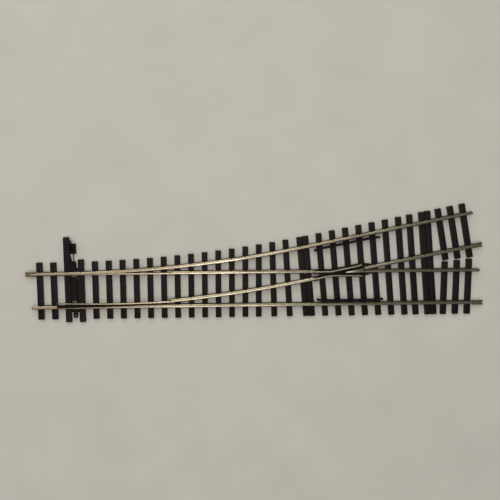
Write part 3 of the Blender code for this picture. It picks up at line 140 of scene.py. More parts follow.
@dataclass(frozen=True)
class Finish:
    """A material that is built once, from what the real one is."""

    name: str

    def material(self) -> bpy.types.Material:
        """Returns the material, building it the first time."""
        made = bpy.data.materials.get(self.name)
        if made is None:
            made = bpy.data.materials.new(self.name)
            made.use_nodes = True
            tree = made.node_tree
            self.paint(tree, tree.nodes["Principled BSDF"])
        return made

    def paint(self, tree: NodeTree, shader: Node) -> None:
        """Fills the material's node tree."""
        raise NotImplementedError

    @staticmethod
    def stretched(tree: NodeTree, size: tuple[float, float, float]) -> NodeSocket:
        """Coordinates that follow a piece: across, along and up, in units of the given sizes.

        Args:
            tree: the material's node tree.
            size: the real length of one unit of pattern in each direction.

        Returns:
            The scaled coordinates.
        """
        grain = add_node(tree, "ShaderNodeAttribute", attribute_type="GEOMETRY", attribute_name=GRAIN)
        scale = tuple(1 / length for length in size)
        inputs = {"Vector": grain.outputs["Vector"], "Scale": scale}
        return add_node(tree, "ShaderNodeMapping", inputs).outputs["Vector"]

    @staticmethod
    def in_place(tree: NodeTree, size: float) -> NodeSocket:
        """Object coordinates in units of a real size."""
        coordinates = add_node(tree, "ShaderNodeTexCoord")
        scale = (1 / size, 1 / size, 1 / size)
        inputs = {"Vector": coordinates.outputs["Object"], "Scale": scale}
        return add_node(tree, "ShaderNodeMapping", inputs).outputs["Vector"]

    @staticmethod
    def noise(tree: NodeTree, vector: NodeSocket, detail: float = 3.0) -> NodeSocket:
        """A noise of one unit's grain on the given coordinates."""
        inputs = {"Vector": vector, "Scale": 1.0, "Detail": detail, "Roughness": 0.55}
        return add_node(tree, "ShaderNodeTexNoise", inputs).outputs["Fac"]

    @staticmethod
    def spread(tree: NodeTree, value: NodeSocket, low: float, high: float) -> NodeSocket:
        """Carries the useful middle of a noise to a range of values."""
        inputs = {"Value": value, "From Min": 0.3, "From Max": 0.7, "To Min": low, "To Max": high}
        return add_node(tree, "ShaderNodeMapRange", inputs).outputs["Result"]

    @staticmethod
    def blended(tree: NodeTree, share: NodeSocket, first: object, second: object) -> NodeSocket:
        """Mixes two colours, each a constant or another node's output."""
        inputs = {"Factor": share, 6: first, 7: second}
        return add_node(tree, "ShaderNodeMix", inputs, data_type="RGBA").outputs[2]

    @staticmethod
    def connect(
        tree: NodeTree, shader: Node, colour: NodeSocket, roughness: NodeSocket, relief: dict
    ) -> None:
        """Links a colour, a roughness and a bump, given by the bump node's inputs, to the shader."""
        bump = add_node(tree, "ShaderNodeBump", relief)
        tree.links.new(colour, shader.inputs["Base Color"])
        tree.links.new(roughness, shader.inputs["Roughness"])
        tree.links.new(bump.outputs["Normal"], shader.inputs["Normal"])


@dataclass(frozen=True)
class SleeperPlastic(Finish):
    """Injection-moulded polystyrene with a wood grain cut into its mould.

    It gives the eye a nearly black brown that turns grey where the fine grain catches light, with
    no more than a soft sheen.
    """

    name: str = "moulded_sleeper_polystyrene"
    dark: str = "#080707"
    light: str = "#141112"
    dust: str = "#1a1616"
    grain_width: float = 0.45 * MM
    grain_length: float = 11 * MM
    blotch: float = 24 * MM
    grain_depth: float = 0.09 * MM

    def paint(self, tree: NodeTree, shader: Node) -> None:
        """Grain lines along each sleeper, with slow blotches of paler wear over them."""
        size = (self.grain_width, self.grain_length, self.grain_width)
        grain = self.noise(tree, self.stretched(tree, size), 4.0)
        blotches = self.noise(tree, self.in_place(tree, self.blotch), 2.0)
        streaks = self.spread(tree, grain, 0.0, 1.0)
        wood = self.blended(tree, streaks, linear_rgba(self.dark), linear_rgba(self.light))
        wear = self.spread(tree, blotches, 0.0, 0.45)
        worn = self.blended(tree, wear, wood, linear_rgba(self.dust))
        relief = {"Height": grain, "Distance": self.grain_depth, "Strength": 0.6}
        self.connect(tree, shader, worn, self.spread(tree, grain, 0.66, 0.5), relief)
        shader.inputs["Specular IOR Level"].default_value = 0.2


@dataclass(frozen=True)
class DrawnNickelSilver(Finish):
    """Nickel silver rail, drawn through a die and since tarnished.

    It gives the eye a warm grey-gold metal with hair-fine lines along the rail, browner in slow
    patches and on the web and foot, and brighter on top where it has been rubbed clean.
    """

    name: str = "drawn_nickel_silver"
    bright: str = "#bfb7a6"
    gold: str = "#a79c82"
    tarnish: str = "#7b7059"
    line_width: float = 0.16 * MM
    line_length: float = 18 * MM
    patch_width: float = 3 * MM
    patch_length: float = 26 * MM
    rubbed_from: float = 7.2 * MM
    rubbed_to: float = 7.5 * MM
    line_depth: float = 0.012 * MM

    def paint(self, tree: NodeTree, shader: Node) -> None:
        """Drawn lines and tarnish patches that follow the rail, under a rubbed running surface."""
        line_size = (self.line_width, self.line_length, self.line_width)
        lines = self.noise(tree, self.stretched(tree, line_size), 2.0)
        patch_size = (self.patch_width, self.patch_length, self.patch_width)
        patches = self.noise(tree, self.stretched(tree, patch_size), 3.0)
        age = self.spread(tree, patches, 0.0, 1.0)
        aged = self.blended(tree, age, linear_rgba(self.gold), linear_rgba(self.tarnish))
        grain = add_node(tree, "ShaderNodeAttribute", attribute_type="GEOMETRY", attribute_name=GRAIN)
        parts = add_node(tree, "ShaderNodeSeparateXYZ", {"Vector": grain.outputs["Vector"]})
        rubbed = add_node(
            tree,
            "ShaderNodeMapRange",
            {"Value": parts.outputs["Z"], "From Min": self.rubbed_from, "From Max": self.rubbed_to},
        ).outputs["Result"]
        share = self.spread(tree, patches, 0.85, 0.35)
        clean = add_node(
            tree, "ShaderNodeMath", {0: rubbed, 1: share}, operation="MULTIPLY"
        ).outputs["Value"]
        colour = self.blended(tree, clean, aged, linear_rgba(self.bright))
        relief = {"Height": lines, "Distance": self.line_depth, "Strength": 0.5}
        self.connect(tree, shader, colour, self.spread(tree, patches, 0.22, 0.34), relief)
        shader.inputs["Metallic"].default_value = 1.0


@dataclass(frozen=True)
class SheetMetal(Finish):
    """Thin nickel silver or steel sheet, folded or cut to shape.

    It gives the eye a duller metal than the rail, with fine cross-hatched scuffs from handling.
    """

    pale: str = "#958a71"
    deep: str = "#665b45"
    scuff: float = 0.5 * MM
    cloud: float = 4 * MM
    scuff_depth: float = 0.015 * MM
    smoothest: float = 0.3
    dullest: float = 0.5

    def paint(self, tree: NodeTree, shader: Node) -> None:
        """Clouds of tone with a fine scuffed bump."""
        clouds = self.noise(tree, self.in_place(tree, self.cloud), 3.0)
        scuffs = self.noise(tree, self.in_place(tree, self.scuff), 4.0)
        share = self.spread(tree, clouds, 0.0, 1.0)
        colour = self.blended(tree, share, linear_rgba(self.pale), linear_rgba(self.deep))
        relief = {"Height": scuffs, "Distance": self.scuff_depth, "Strength": 0.5}
        roughness = self.spread(tree, scuffs, self.smoothest, self.dullest)
        self.connect(tree, shader, colour, roughness, relief)
        shader.inputs["Metallic"].default_value = 1.0


@dataclass(frozen=True)
class MouldedPlastic(Finish):
    """Plain injection-moulded plastic, spark-eroded to a satin surface.

    It gives the eye one soft colour with a faint grit, which is drawn coarser than the real one
    so that it shows at all.
    """

    pale: str = "#151213"
    deep: str = "#0c0a0b"
    grit: float = 0.4 * MM
    cloud: float = 9 * MM
    grit_depth: float = 0.02 * MM
    sheen: float = 0.45

    def paint(self, tree: NodeTree, shader: Node) -> None:
        """A gritty bump under slow changes of tone."""
        clouds = self.noise(tree, self.in_place(tree, self.cloud), 3.0)
        grit = self.noise(tree, self.in_place(tree, self.grit), 3.0)
        share = self.spread(tree, clouds, 0.0, 1.0)
        colour = self.blended(tree, share, linear_rgba(self.pale), linear_rgba(self.deep))
        relief = {"Height": grit, "Distance": self.grit_depth, "Strength": 0.6}
        roughness = self.spread(tree, grit, self.sheen, self.sheen + 0.15)
        self.connect(tree, shader, colour, roughness, relief)
        shader.inputs["Specular IOR Level"].default_value = 0.15


SLEEPER_PLASTIC = SleeperPlastic()
RAIL_METAL = DrawnNickelSilver()
JOINER_METAL = SheetMetal(name="folded_joiner_sheet")
BLACKENED_STEEL = SheetMetal(
    name="blackened_steel", pale="#2d2b2c", deep="#1a1819", smoothest=0.4, dullest=0.6
)
CUT_STEEL = SheetMetal(name="cut_steel_pin", pale="#6a6864", deep="#454341", dullest=0.55)
BLACK_MOULDING = MouldedPlastic(name="black_satin_moulding")
INSULATOR_BROWN = MouldedPlastic(name="brown_insulator_moulding", pale="#3a322e", deep="#2a2422")
INSULATOR_PALE = MouldedPlastic(
    name="pale_insulator_nylon", pale="#d8d2c4", deep="#c2bbab", sheen=0.4
)


# ------------------------------------------------------------------ shape tools


def round_off(
    bm: bmesh.types.BMesh, geom: list, width: float, segments: int, affect: str = "EDGES"
) -> None:
    """Rounds some edges or corners of a mesh, over a width and with so many faces."""
    bmesh.ops.bevel(
        bm,
        geom=geom,
        offset=width,
        offset_type="OFFSET",
        segments=segments,
        profile=0.5,
        affect=affect,
        clamp_overlap=True,
        material=-1,
    )


@dataclass
class Shape:
    """A mesh in the making. Its grain layer keeps each point's place on its own part."""

    bm: bmesh.types.BMesh = field(default_factory=bmesh.new)

    def keep_grain(self, seed: float = 0.0) -> "Shape":
        """Stores where each point lies now, so that a pattern follows the part wherever it goes.

        Args:
            seed: a shift along Y that makes each part's pattern its own.

        Returns:
            This shape.
        """
        layers = self.bm.verts.layers.float_vector
        layer = layers.get(GRAIN) or layers.new(GRAIN)
        shift = Vector((0, seed, 0))
        for vert in self.bm.verts:
            vert[layer] = vert.co + shift
        return self

    def moved(self, matrix: Matrix) -> "Shape":
        """Transforms the whole shape and returns it."""
        bmesh.ops.transform(self.bm, matrix=matrix, verts=self.bm.verts)
        return self

    def join(self, other: "Shape", matrix: Matrix | None = None) -> "Shape":
        """Adds a copy of another shape.

        Args:
            other: the shape to copy in.
            matrix: where the copy goes, or nothing to leave it in place.

        Returns:
            This shape.
        """
        carrier = bpy.data.meshes.new("carrier")
        other.bm.to_mesh(carrier)
        if matrix is not None:
            carrier.transform(matrix)
        self.bm.from_mesh(carrier)
        bpy.data.meshes.remove(carrier)
        return self

    def bevel_edges(self, width: float, segments: int = 1, top_only: bool = False) -> "Shape":
        """Rounds the shape's sharp edges.

        Args:
            width: how far the rounding reaches from each edge.
            segments: how many faces it has.
            top_only: whether only the edges of the highest faces are rounded.

        Returns:
            This shape.
        """
        self.bm.normal_update()
        top = max(vert.co.z for vert in self.bm.verts)
        edges = [
            edge
            for edge in self.bm.edges
            if edge.calc_face_angle(0.0) > SHARP_ANGLE
            and (not top_only or all(abs(vert.co.z - top) < WELD_DISTANCE for vert in edge.verts))
        ]
        round_off(self.bm, edges, width, segments)
        return self

    def limit(self, towards: int, line: Callable[[float], float], below: float = math.inf) -> "Shape":
        """Planes one side of the shape back to a line in plan.

        Args:
            towards: 1 to plane the +Y side, -1 to plane the -Y side.
            line: the Y that is left at each X, or an infinite one where nothing is planed.
            below: only what is lower than this is planed.

        Returns:
            This shape.
        """
        for vert in self.bm.verts:
            edge = line(vert.co.x)
            if vert.co.z < below and towards * (vert.co.y - edge) > 0:
                vert.co.y = edge
        return self

    def publish_rail(self, name: str, plan: "TrackPlan", node: str) -> None:
        """Turns the shape into a rail that is fixed to the bed, in place of its CAD node."""
        self.publish(name, plan, Body.TRACK, Slot.RAIL, RAIL_METAL, node)

    def publish(
        self,
        name: str,
        plan: "TrackPlan",
        body: Body,
        slot: Slot,
        finish: Finish,
        *stands_for: str,
    ) -> bpy.types.Object:
        """Turns the shape into a finished piece of the object.

        Args:
            name: the piece's name.
            plan: the track plan, whose origin carries the piece to its place.
            body: the rigid body that it rides on.
            slot: the record's material slot, which is not used here.
            finish: what it is made of.
            *stands_for: the CAD nodes that it replaces.

        Returns:
            The piece's object.
        """
        bmesh.ops.remove_doubles(self.bm, verts=self.bm.verts, dist=WELD_DISTANCE)
        bmesh.ops.dissolve_degenerate(self.bm, dist=WELD_DISTANCE, edges=self.bm.edges)
        bmesh.ops.recalc_face_normals(self.bm, faces=self.bm.faces)
        bmesh.ops.translate(self.bm, vec=plan.origin, verts=self.bm.verts)
        mesh = bpy.data.meshes.new(name)
        self.bm.to_mesh(mesh)
        self.bm.free()
        mesh.materials.append(finish.material())
        mesh.shade_smooth()
        mesh.set_sharp_from_angle(angle=SHARP_ANGLE)
        piece = bpy.data.objects.new(name, mesh)
        bpy.context.scene.collection.objects.link(piece)
        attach(piece, body.value)
        if stands_for:
            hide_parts(*stands_for)
        log.info("%s: %d faces, rides on %s", name, len(mesh.polygons), body.value)
        return piece


@dataclass(frozen=True)
class Hole:
    """An opening through a slab: round, or a rectangle if it has half sides."""

    x: float
    y: float
    radius: float = 0.0
    half_sides: tuple[float, float] | None = None

    def loop(self, bm: bmesh.types.BMesh) -> None:
        """Adds the opening's edge loop."""
        place = Matrix.Translation((self.x, self.y, 0))
        if self.half_sides is None:
            bmesh.ops.create_circle(bm, segments=ROUND_STEPS, radius=self.radius, matrix=place)
            return
        eighth_turn = Matrix.Rotation(math.tau / 8, 4, "Z")
        square = place @ Matrix.Diagonal((*self.half_sides, 1, 1)) @ eighth_turn
        bmesh.ops.create_circle(bm, segments=4, radius=math.sqrt(2), matrix=square)


def block(
    low: Sequence[float],
    high: Sequence[float],
    bevel: float = 0.12 * MM,
    segments: int = 1,
    top_only: bool = False,
    seed: float = 0.0,
) -> Shape:
    """A box between two corners with its edges rounded.

    Args:
        low: the lowest corner.
        high: the highest corner.
        bevel: how far the rounding reaches.
        segments: how many faces each rounding has.
        top_only: whether only the top edges are rounded.
        seed: the pattern's shift, as in Shape.keep_grain.

    Returns:
        The shape.
    """
    corner, size = Vector(low), Vector(high) - Vector(low)
    shape = Shape()
    place = Matrix.Translation(corner + size / 2) @ Matrix.Diagonal((*size, 1))
    bmesh.ops.create_cube(shape.bm, size=1.0, matrix=place)
    return shape.bevel_edges(bevel, segments, top_only).keep_grain(seed)


def rounded_face(
    bm: bmesh.types.BMesh, points: Sequence[Vector], corners: Sequence[tuple[float, int]]
) -> bmesh.types.BMFace:
    """A face from a few points, with each corner rounded.

    Args:
        bm: the mesh that it goes in.
        points: the corners, in order.
        corners: each corner's rounding and how many edges it has; a size of zero leaves it sharp.

    Returns:
        The face.
    """
    verts = [bm.verts.new(point) for point in points]
    bm.faces.new(verts)
    for vert, (size, segments) in zip(verts, corners):
        if size > 0:
            round_off(bm, [vert], size, segments, "VERTICES")
    bm.faces.ensure_lookup_table()
    return bm.faces[0]


def slab(
    outline: Sequence[tuple[float, float]],
    low: float,
    high: float,
    holes: Sequence[Hole] = (),
    corner: float | Sequence[float] = 0.0,
    bevel: float = 0.1 * MM,
    segments: int = 1,
) -> Shape:
    """A flat shape in plan, given thickness, with holes through it.

    Args:
        outline: its corners in plan, in order.
        low: the height of its underside.
        high: the height of its top.
        holes: the openings through it.
        corner: the rounding of its corners in plan, one for all of them or one for each.
        bevel: the rounding of its rims.
        segments: how many faces the rims' rounding has.

    Returns:
        The shape.
    """
    shape = Shape()
    points = [Vector((x, y, 0)) for x, y in outline]
    sizes = [corner] * len(points) if isinstance(corner, float) else corner
    face = rounded_face(shape.bm, points, [(size, CORNER_STEPS) for size in sizes])
    if holes:
        bmesh.ops.delete(shape.bm, geom=[face], context="FACES_ONLY")
        for hole in holes:
            hole.loop(shape.bm)
        bmesh.ops.triangle_fill(shape.bm, use_beauty=True, use_dissolve=False, edges=shape.bm.edges)
    bmesh.ops.translate(shape.bm, vec=(0, 0, low), verts=shape.bm.verts)
    top = bmesh.ops.extrude_face_region(shape.bm, geom=shape.bm.faces[:])
    risen = [item for item in top["geom"] if isinstance(item, bmesh.types.BMVert)]
    bmesh.ops.translate(shape.bm, vec=(0, 0, high - low), verts=risen)
    bmesh.ops.recalc_face_normals(shape.bm, faces=shape.bm.faces)
    if bevel > 0:
        shape.bevel_edges(bevel, segments)
    return shape.keep_grain()


def lathe(profile: Sequence[tuple[float, float]], steps: int = ROUND_STEPS) -> Shape:
    """A turned shape about the Z axis.

    Args:
        profile: radius and height of each point, from one end of the axis to the other.
        steps: how many faces go round.

    Returns:
        The shape.
    """
    shape = Shape()
    verts = [shape.bm.verts.new((radius, 0, height)) for radius, height in profile]
    edges = [shape.bm.edges.new(pair) for pair in zip(verts, verts[1:])]
    bmesh.ops.spin(
        shape.bm,
        geom=[*verts, *edges],
        cent=(0, 0, 0),
        axis=(0, 0, 1),
        dvec=(0, 0, 0),
        angle=math.tau,
        steps=steps,
        use_merge=True,
        use_duplicate=False,
    )
    bmesh.ops.remove_doubles(shape.bm, verts=shape.bm.verts, dist=WELD_DISTANCE)
    bmesh.ops.recalc_face_normals(shape.bm, faces=shape.bm.faces)
    return shape.keep_grain()


def pin(radius: float, low: float, high: float, rim: float = 0.1 * MM, steps: int = 20) -> Shape:
    """A round pin along Z with softened rims."""
    inner = radius - rim
    profile = [(0, low), (inner, low), (radius, low + rim)]
    profile += [(radius, high - rim), (inner, high), (0, high)]
    return lathe(profile, steps)


def rectangle(left: float, near: float, right: float, far: float) -> list[tuple[float, float]]:
    """The corners of a rectangle in plan, in the order that slab takes them."""
    return [(left, near), (right, near), (right, far), (left, far)]


@dataclass(frozen=True)
class Section:
    """The closed outline that a bar or rail has across its length, as (across, up) points."""

    points: tuple[tuple[float, float], ...]
    corners: tuple[tuple[float, int], ...]

    @classmethod
    def mirrored(cls, right: Sequence[tuple[float, float, float, int]]) -> "Section":
        """A symmetrical section from its right half.

        Args:
            right: across, up, corner rounding and edges for each point, from the bottom up.

        Returns:
            The whole section.
        """
        left = [(-x, z, size, count) for x, z, size, count in reversed(right) if x > 0]
        whole = [*right, *left]
        points = tuple((x, z) for x, z, _, _ in whole)
        return cls(points, tuple((size, count) for _, _, size, count in whole))

    def along(self, path: Sequence[Vector], end_bevel: float = 0.07 * MM, seed: float = 0.0) -> Shape:
        """Carries the section along a path, step by step.

        Args:
            path: the points that the section's own zero follows.
            end_bevel: the rounding of the two cut ends.
            seed: the pattern's shift along the piece.

        Returns:
            The shape, whose grain runs along the path.
        """
        shape = Shape()
        bm = shape.bm
        layer = bm.verts.layers.float_vector.new(GRAIN)
        face = rounded_face(bm, [Vector((x, 0, z)) for x, z in self.points], self.corners)
        stations = path_stations(path)
        bmesh.ops.transform(bm, matrix=stations[0], verts=face.verts)
        travelled = seed
        ring = list(face.verts)
        for index, station in enumerate(stations):
            if index:
                grown = bmesh.ops.extrude_face_region(bm, geom=[face, *face.edges])["geom"]
                face = next(item for item in grown if isinstance(item, bmesh.types.BMFace))
                ring = [item for item in grown if isinstance(item, bmesh.types.BMVert)]
                bmesh.ops.transform(bm, matrix=station @ stations[index - 1].inverted(), verts=ring)
                travelled += (path[index] - path[index - 1]).length
            back = station.inverted()
            for vert in ring:
                local = back @ vert.co
                vert[layer] = (local.x, travelled, local.z)
        bmesh.ops.recalc_face_normals(bm, faces=bm.faces)
        if end_bevel > 0:
            caps = [cap for cap in bm.faces if len(cap.verts) > 4]
            edges = {edge for cap in caps for edge in cap.edges}
            round_off(bm, list(edges), end_bevel, 1)
        return shape


def path_stations(path: Sequence[Vector]) -> list[Matrix]:
    """The place and heading of each point on a path, midway between its two sides at a bend.

    Args:
        path: the points.

    Returns:
        A matrix for each, with X across to the right, Y along and Z up.
    """
    legs = [(b - a).normalized() for a, b in zip(path, path[1:])]
    stations = []
    for index, point in enumerate(path):
        before, after = legs[max(index - 1, 0)], legs[min(index, len(legs) - 1)]
        ahead = (before + after).normalized()
        right = ahead.cross(Vector((0, 0, 1))).normalized()
        turn = Matrix((right, ahead, right.cross(ahead))).transposed().to_4x4()
        stations.append(Matrix.Translation(point) @ turn)
    return stations


# Local X along Y, local Y up and local Z along X, for slabs and turned pins on their side.
SIDEWAYS = Matrix(((0, 0, 1, 0), (1, 0, 0, 0), (0, 1, 0, 0), (0, 0, 0, 1)))


# ------------------------------------------------------------------ track plan


@dataclass(frozen=True)
class TrackPlan:
    """Where both routes run, taken from the frame's own rails."""

    origin: Vector
    rail_offset: float
    foot_z: float
    head_z: float
    half_foot: float
    through_length: float
    branch_length: float = 448.5 * MM
    branch_radius: float = 1330 * MM
    branch_angle: float = math.radians(11.25)
    curve_start: float = 17 * MM
    half_head: float = 0.8 * MM
    half_web: float = 0.4 * MM
    flangeway: float = 2.5 * MM
    sleeper_top: float = 4 * MM
    arc_step: float = 7 * MM
    least_step: float = 0.2 * MM

    @classmethod
    def from_frame(cls) -> "TrackPlan":
        """Reads the plan's place and the rails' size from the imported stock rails."""
        low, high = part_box("stock_rail_straight")
        curved_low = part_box("stock_rail_curved")[0]
        offset = (curved_low.y - low.y) / 2
        centre_y = (low.y + high.y) / 2 + offset
        return cls(
            origin=Vector((low.x, centre_y, 0)),
            rail_offset=offset,
            foot_z=low.z,
            head_z=high.z,
            half_foot=(high.y - low.y) / 2,
            through_length=high.x - low.x,
        )

    def branch_frame(self, distance: float) -> tuple[Vector, float]:
        """The point and heading of the branch centre line at a distance along it."""
        run = distance - self.curve_start
        if run <= 0:
            return Vector((distance, 0, 0)), 0.0
        turn = min(run / self.branch_radius, self.branch_angle)
        across, up = math.sin(turn), 1 - math.cos(turn)
        point = Vector((self.curve_start + self.branch_radius * across, self.branch_radius * up, 0))
        beyond = max(run - self.branch_radius * self.branch_angle, 0)
        return point + beyond * Vector((math.cos(turn), math.sin(turn), 0)), turn

    def branch_point(self, distance: float, offset: float) -> Vector:
        """A point beside the branch centre line, positive offsets lying to its left."""
        point, turn = self.branch_frame(distance)
        return point + offset * Vector((-math.sin(turn), math.cos(turn), 0))

    def branch_distance(self, x: float, offset: float) -> float:
        """How far along the branch the line at this offset reaches the given X."""
        if x <= self.curve_start:
            return x
        radius = self.branch_radius - offset
        arc_end = self.curve_start + radius * math.sin(self.branch_angle)
        if x <= arc_end:
            return self.curve_start + self.branch_radius * math.asin((x - self.curve_start) / radius)
        straight = (x - arc_end) / math.cos(self.branch_angle)
        return self.curve_start + self.branch_radius * self.branch_angle + straight

    def branch_y(self, x: float, offset: float) -> float:
        """The Y of the line at this offset from the branch centre line."""
        return self.branch_point(self.branch_distance(x, offset), offset).y

    def through_path(
        self, start: float, end: float, y: float, stops: Sequence[float] = ()
    ) -> list[Vector]:
        """Points along the through track from one X to another, with extra stops between."""
        between = sorted(stop for stop in stops if start < stop < end)
        return [Vector((x, y, 0)) for x in (start, *between, end)]

    def branch_path(
        self, start: float, end: float, offset: float, stops: Sequence[float] = ()
    ) -> list[Vector]:
        """Points along the branch between two distances, close together on its arc.

        Args:
            start: the first distance.
            end: the last distance.
            offset: how far to the left of the centre line the path runs.
            stops: extra distances that the path has to pass.

        Returns:
            The points in order.
        """
        arc_end = self.curve_start + self.branch_radius * self.branch_angle
        count = math.ceil((arc_end - self.curve_start) / self.arc_step)
        arc = [self.curve_start + (arc_end - self.curve_start) * i / count for i in range(count + 1)]
        chosen = [start]
        for stop in sorted([*arc, *stops]):
            if chosen[-1] + self.least_step < stop < end - self.least_step:
                chosen.append(stop)
        return [self.branch_point(stop, offset) for stop in [*chosen, end]]

    def bisector_y(self, x: float) -> float:
        """The line midway between the two exit tracks."""
        meet = self.branch_frame(self.branch_length)[0]
        centre_x = meet.x - meet.y / math.tan(self.branch_angle)
        return (x - centre_x) * math.tan(self.branch_angle / 2)

    def crossing_x(self) -> float:
        """Where the centre lines of the two inner rails cross."""
        far = self.branch_point(self.branch_length, -self.rail_offset)
        return far.x - (far.y - self.rail_offset) / math.tan(self.branch_angle)

    def wing_knuckle(self) -> float:
        """Where the wing rails bend away from the inner rails."""
        return self.crossing_x() - (self.flangeway + 2 * self.half_head) / math.sin(self.branch_angle)


@dataclass(frozen=True)
class RailSections:
    """The rail as drawn, and as planed for blades and for the crossing."""

    plan: TrackPlan
    foot_edge: float = 0.45 * MM
    foot_rise: float = 0.9 * MM
    head_depth: float = 0.8 * MM
    head_slope: float = 0.3 * MM
    crown: float = 0.07 * MM
    blade_height: float = 2.8 * MM

    def upper(self) -> list[tuple[float, float, float, int]]:
        """The right half of web and head, which every rail has, with a lightly crowned top."""
        plan, top = self.plan, self.plan.head_z
        return [
            (plan.half_web, top - self.head_depth - self.head_slope, 0.18 * MM, 2),
            (plan.half_head, top - self.head_depth, 0.1 * MM, 1),
            (plan.half_head, top - self.crown, 0.3 * MM, 4),
            (plan.half_head / 3, top - self.crown / 8, 0, 1),
        ]

    def lower(self, half_foot: float, low: float) -> list[tuple[float, float, float, int]]:
        """The right half of a foot of the given half width, up to the web."""
        return [
            (half_foot, low, 0.1 * MM, 1),
            (half_foot, low + self.foot_edge, 0.14 * MM, 2),
            (self.plan.half_web, low + self.foot_rise, 0.25 * MM, 3),
        ]

    def full(self) -> Section:
        """Rail with its whole foot."""
        return Section.mirrored(self.lower(self.plan.half_foot, self.plan.foot_z) + self.upper())

    def wing(self) -> Section:
        """Rail whose foot is planed to the head's width, as beside the crossing's nose."""
        return Section.mirrored(self.lower(self.plan.half_head, self.plan.foot_z) + self.upper())

    def blade(self) -> Section:
        """A switch blade, planed narrow and undercut to slide on its plates."""
        low = self.plan.head_z - self.blade_height
        return Section.mirrored(self.lower(self.plan.half_head, low) + self.upper())


# ------------------------------------------------------------------ sleeper bed


@dataclass(frozen=True)
class Sleeper:
    """One sleeper: a point on its line, its turn from square, and its two ends along that line."""

    start: Vector
    turn: float
    near: float
    far: float
    holes: tuple[float, ...] = ()

    @property
    def direction(self) -> Vector:
        """The way that the sleeper runs."""
        return Vector((-math.sin(self.turn), math.cos(self.turn), 0))

    @property
    def place(self) -> Matrix:
        """The sleeper's own axes: X across it, Y along it."""
        return Matrix.Translation(self.start) @ Matrix.Rotation(self.turn, 4, "Z")


@dataclass(frozen=True)
class Seat:
    """A place where a sleeper carries a rail, and the sides on which a chair holds its foot."""

    point: Vector
    heading: float
    along: float
    sides: tuple[int, ...]


# A rail near a sleeper: its through track Y or its branch offset, and its chairs' sides.
RailLine = tuple[float | None, float | None, tuple[int, ...]]


@dataclass(frozen=True)
class ChairBlock:
    """A block of a chair, measured from the rail's centre and from the sleeper's top."""

    half_width: float
    across: tuple[float, float]
    heights: tuple[float, float]
    rounding: float

    def shape(self, side: int, top: float) -> Shape:
        """The block on one side of the rail, on a sleeper with its top at this height."""
        near, far = sorted(side * reach for reach in self.across)
        low = (-self.half_width, near, top + self.heights[0])
        return block(low, (self.half_width, far, top + self.heights[1]), self.rounding, 1, True)


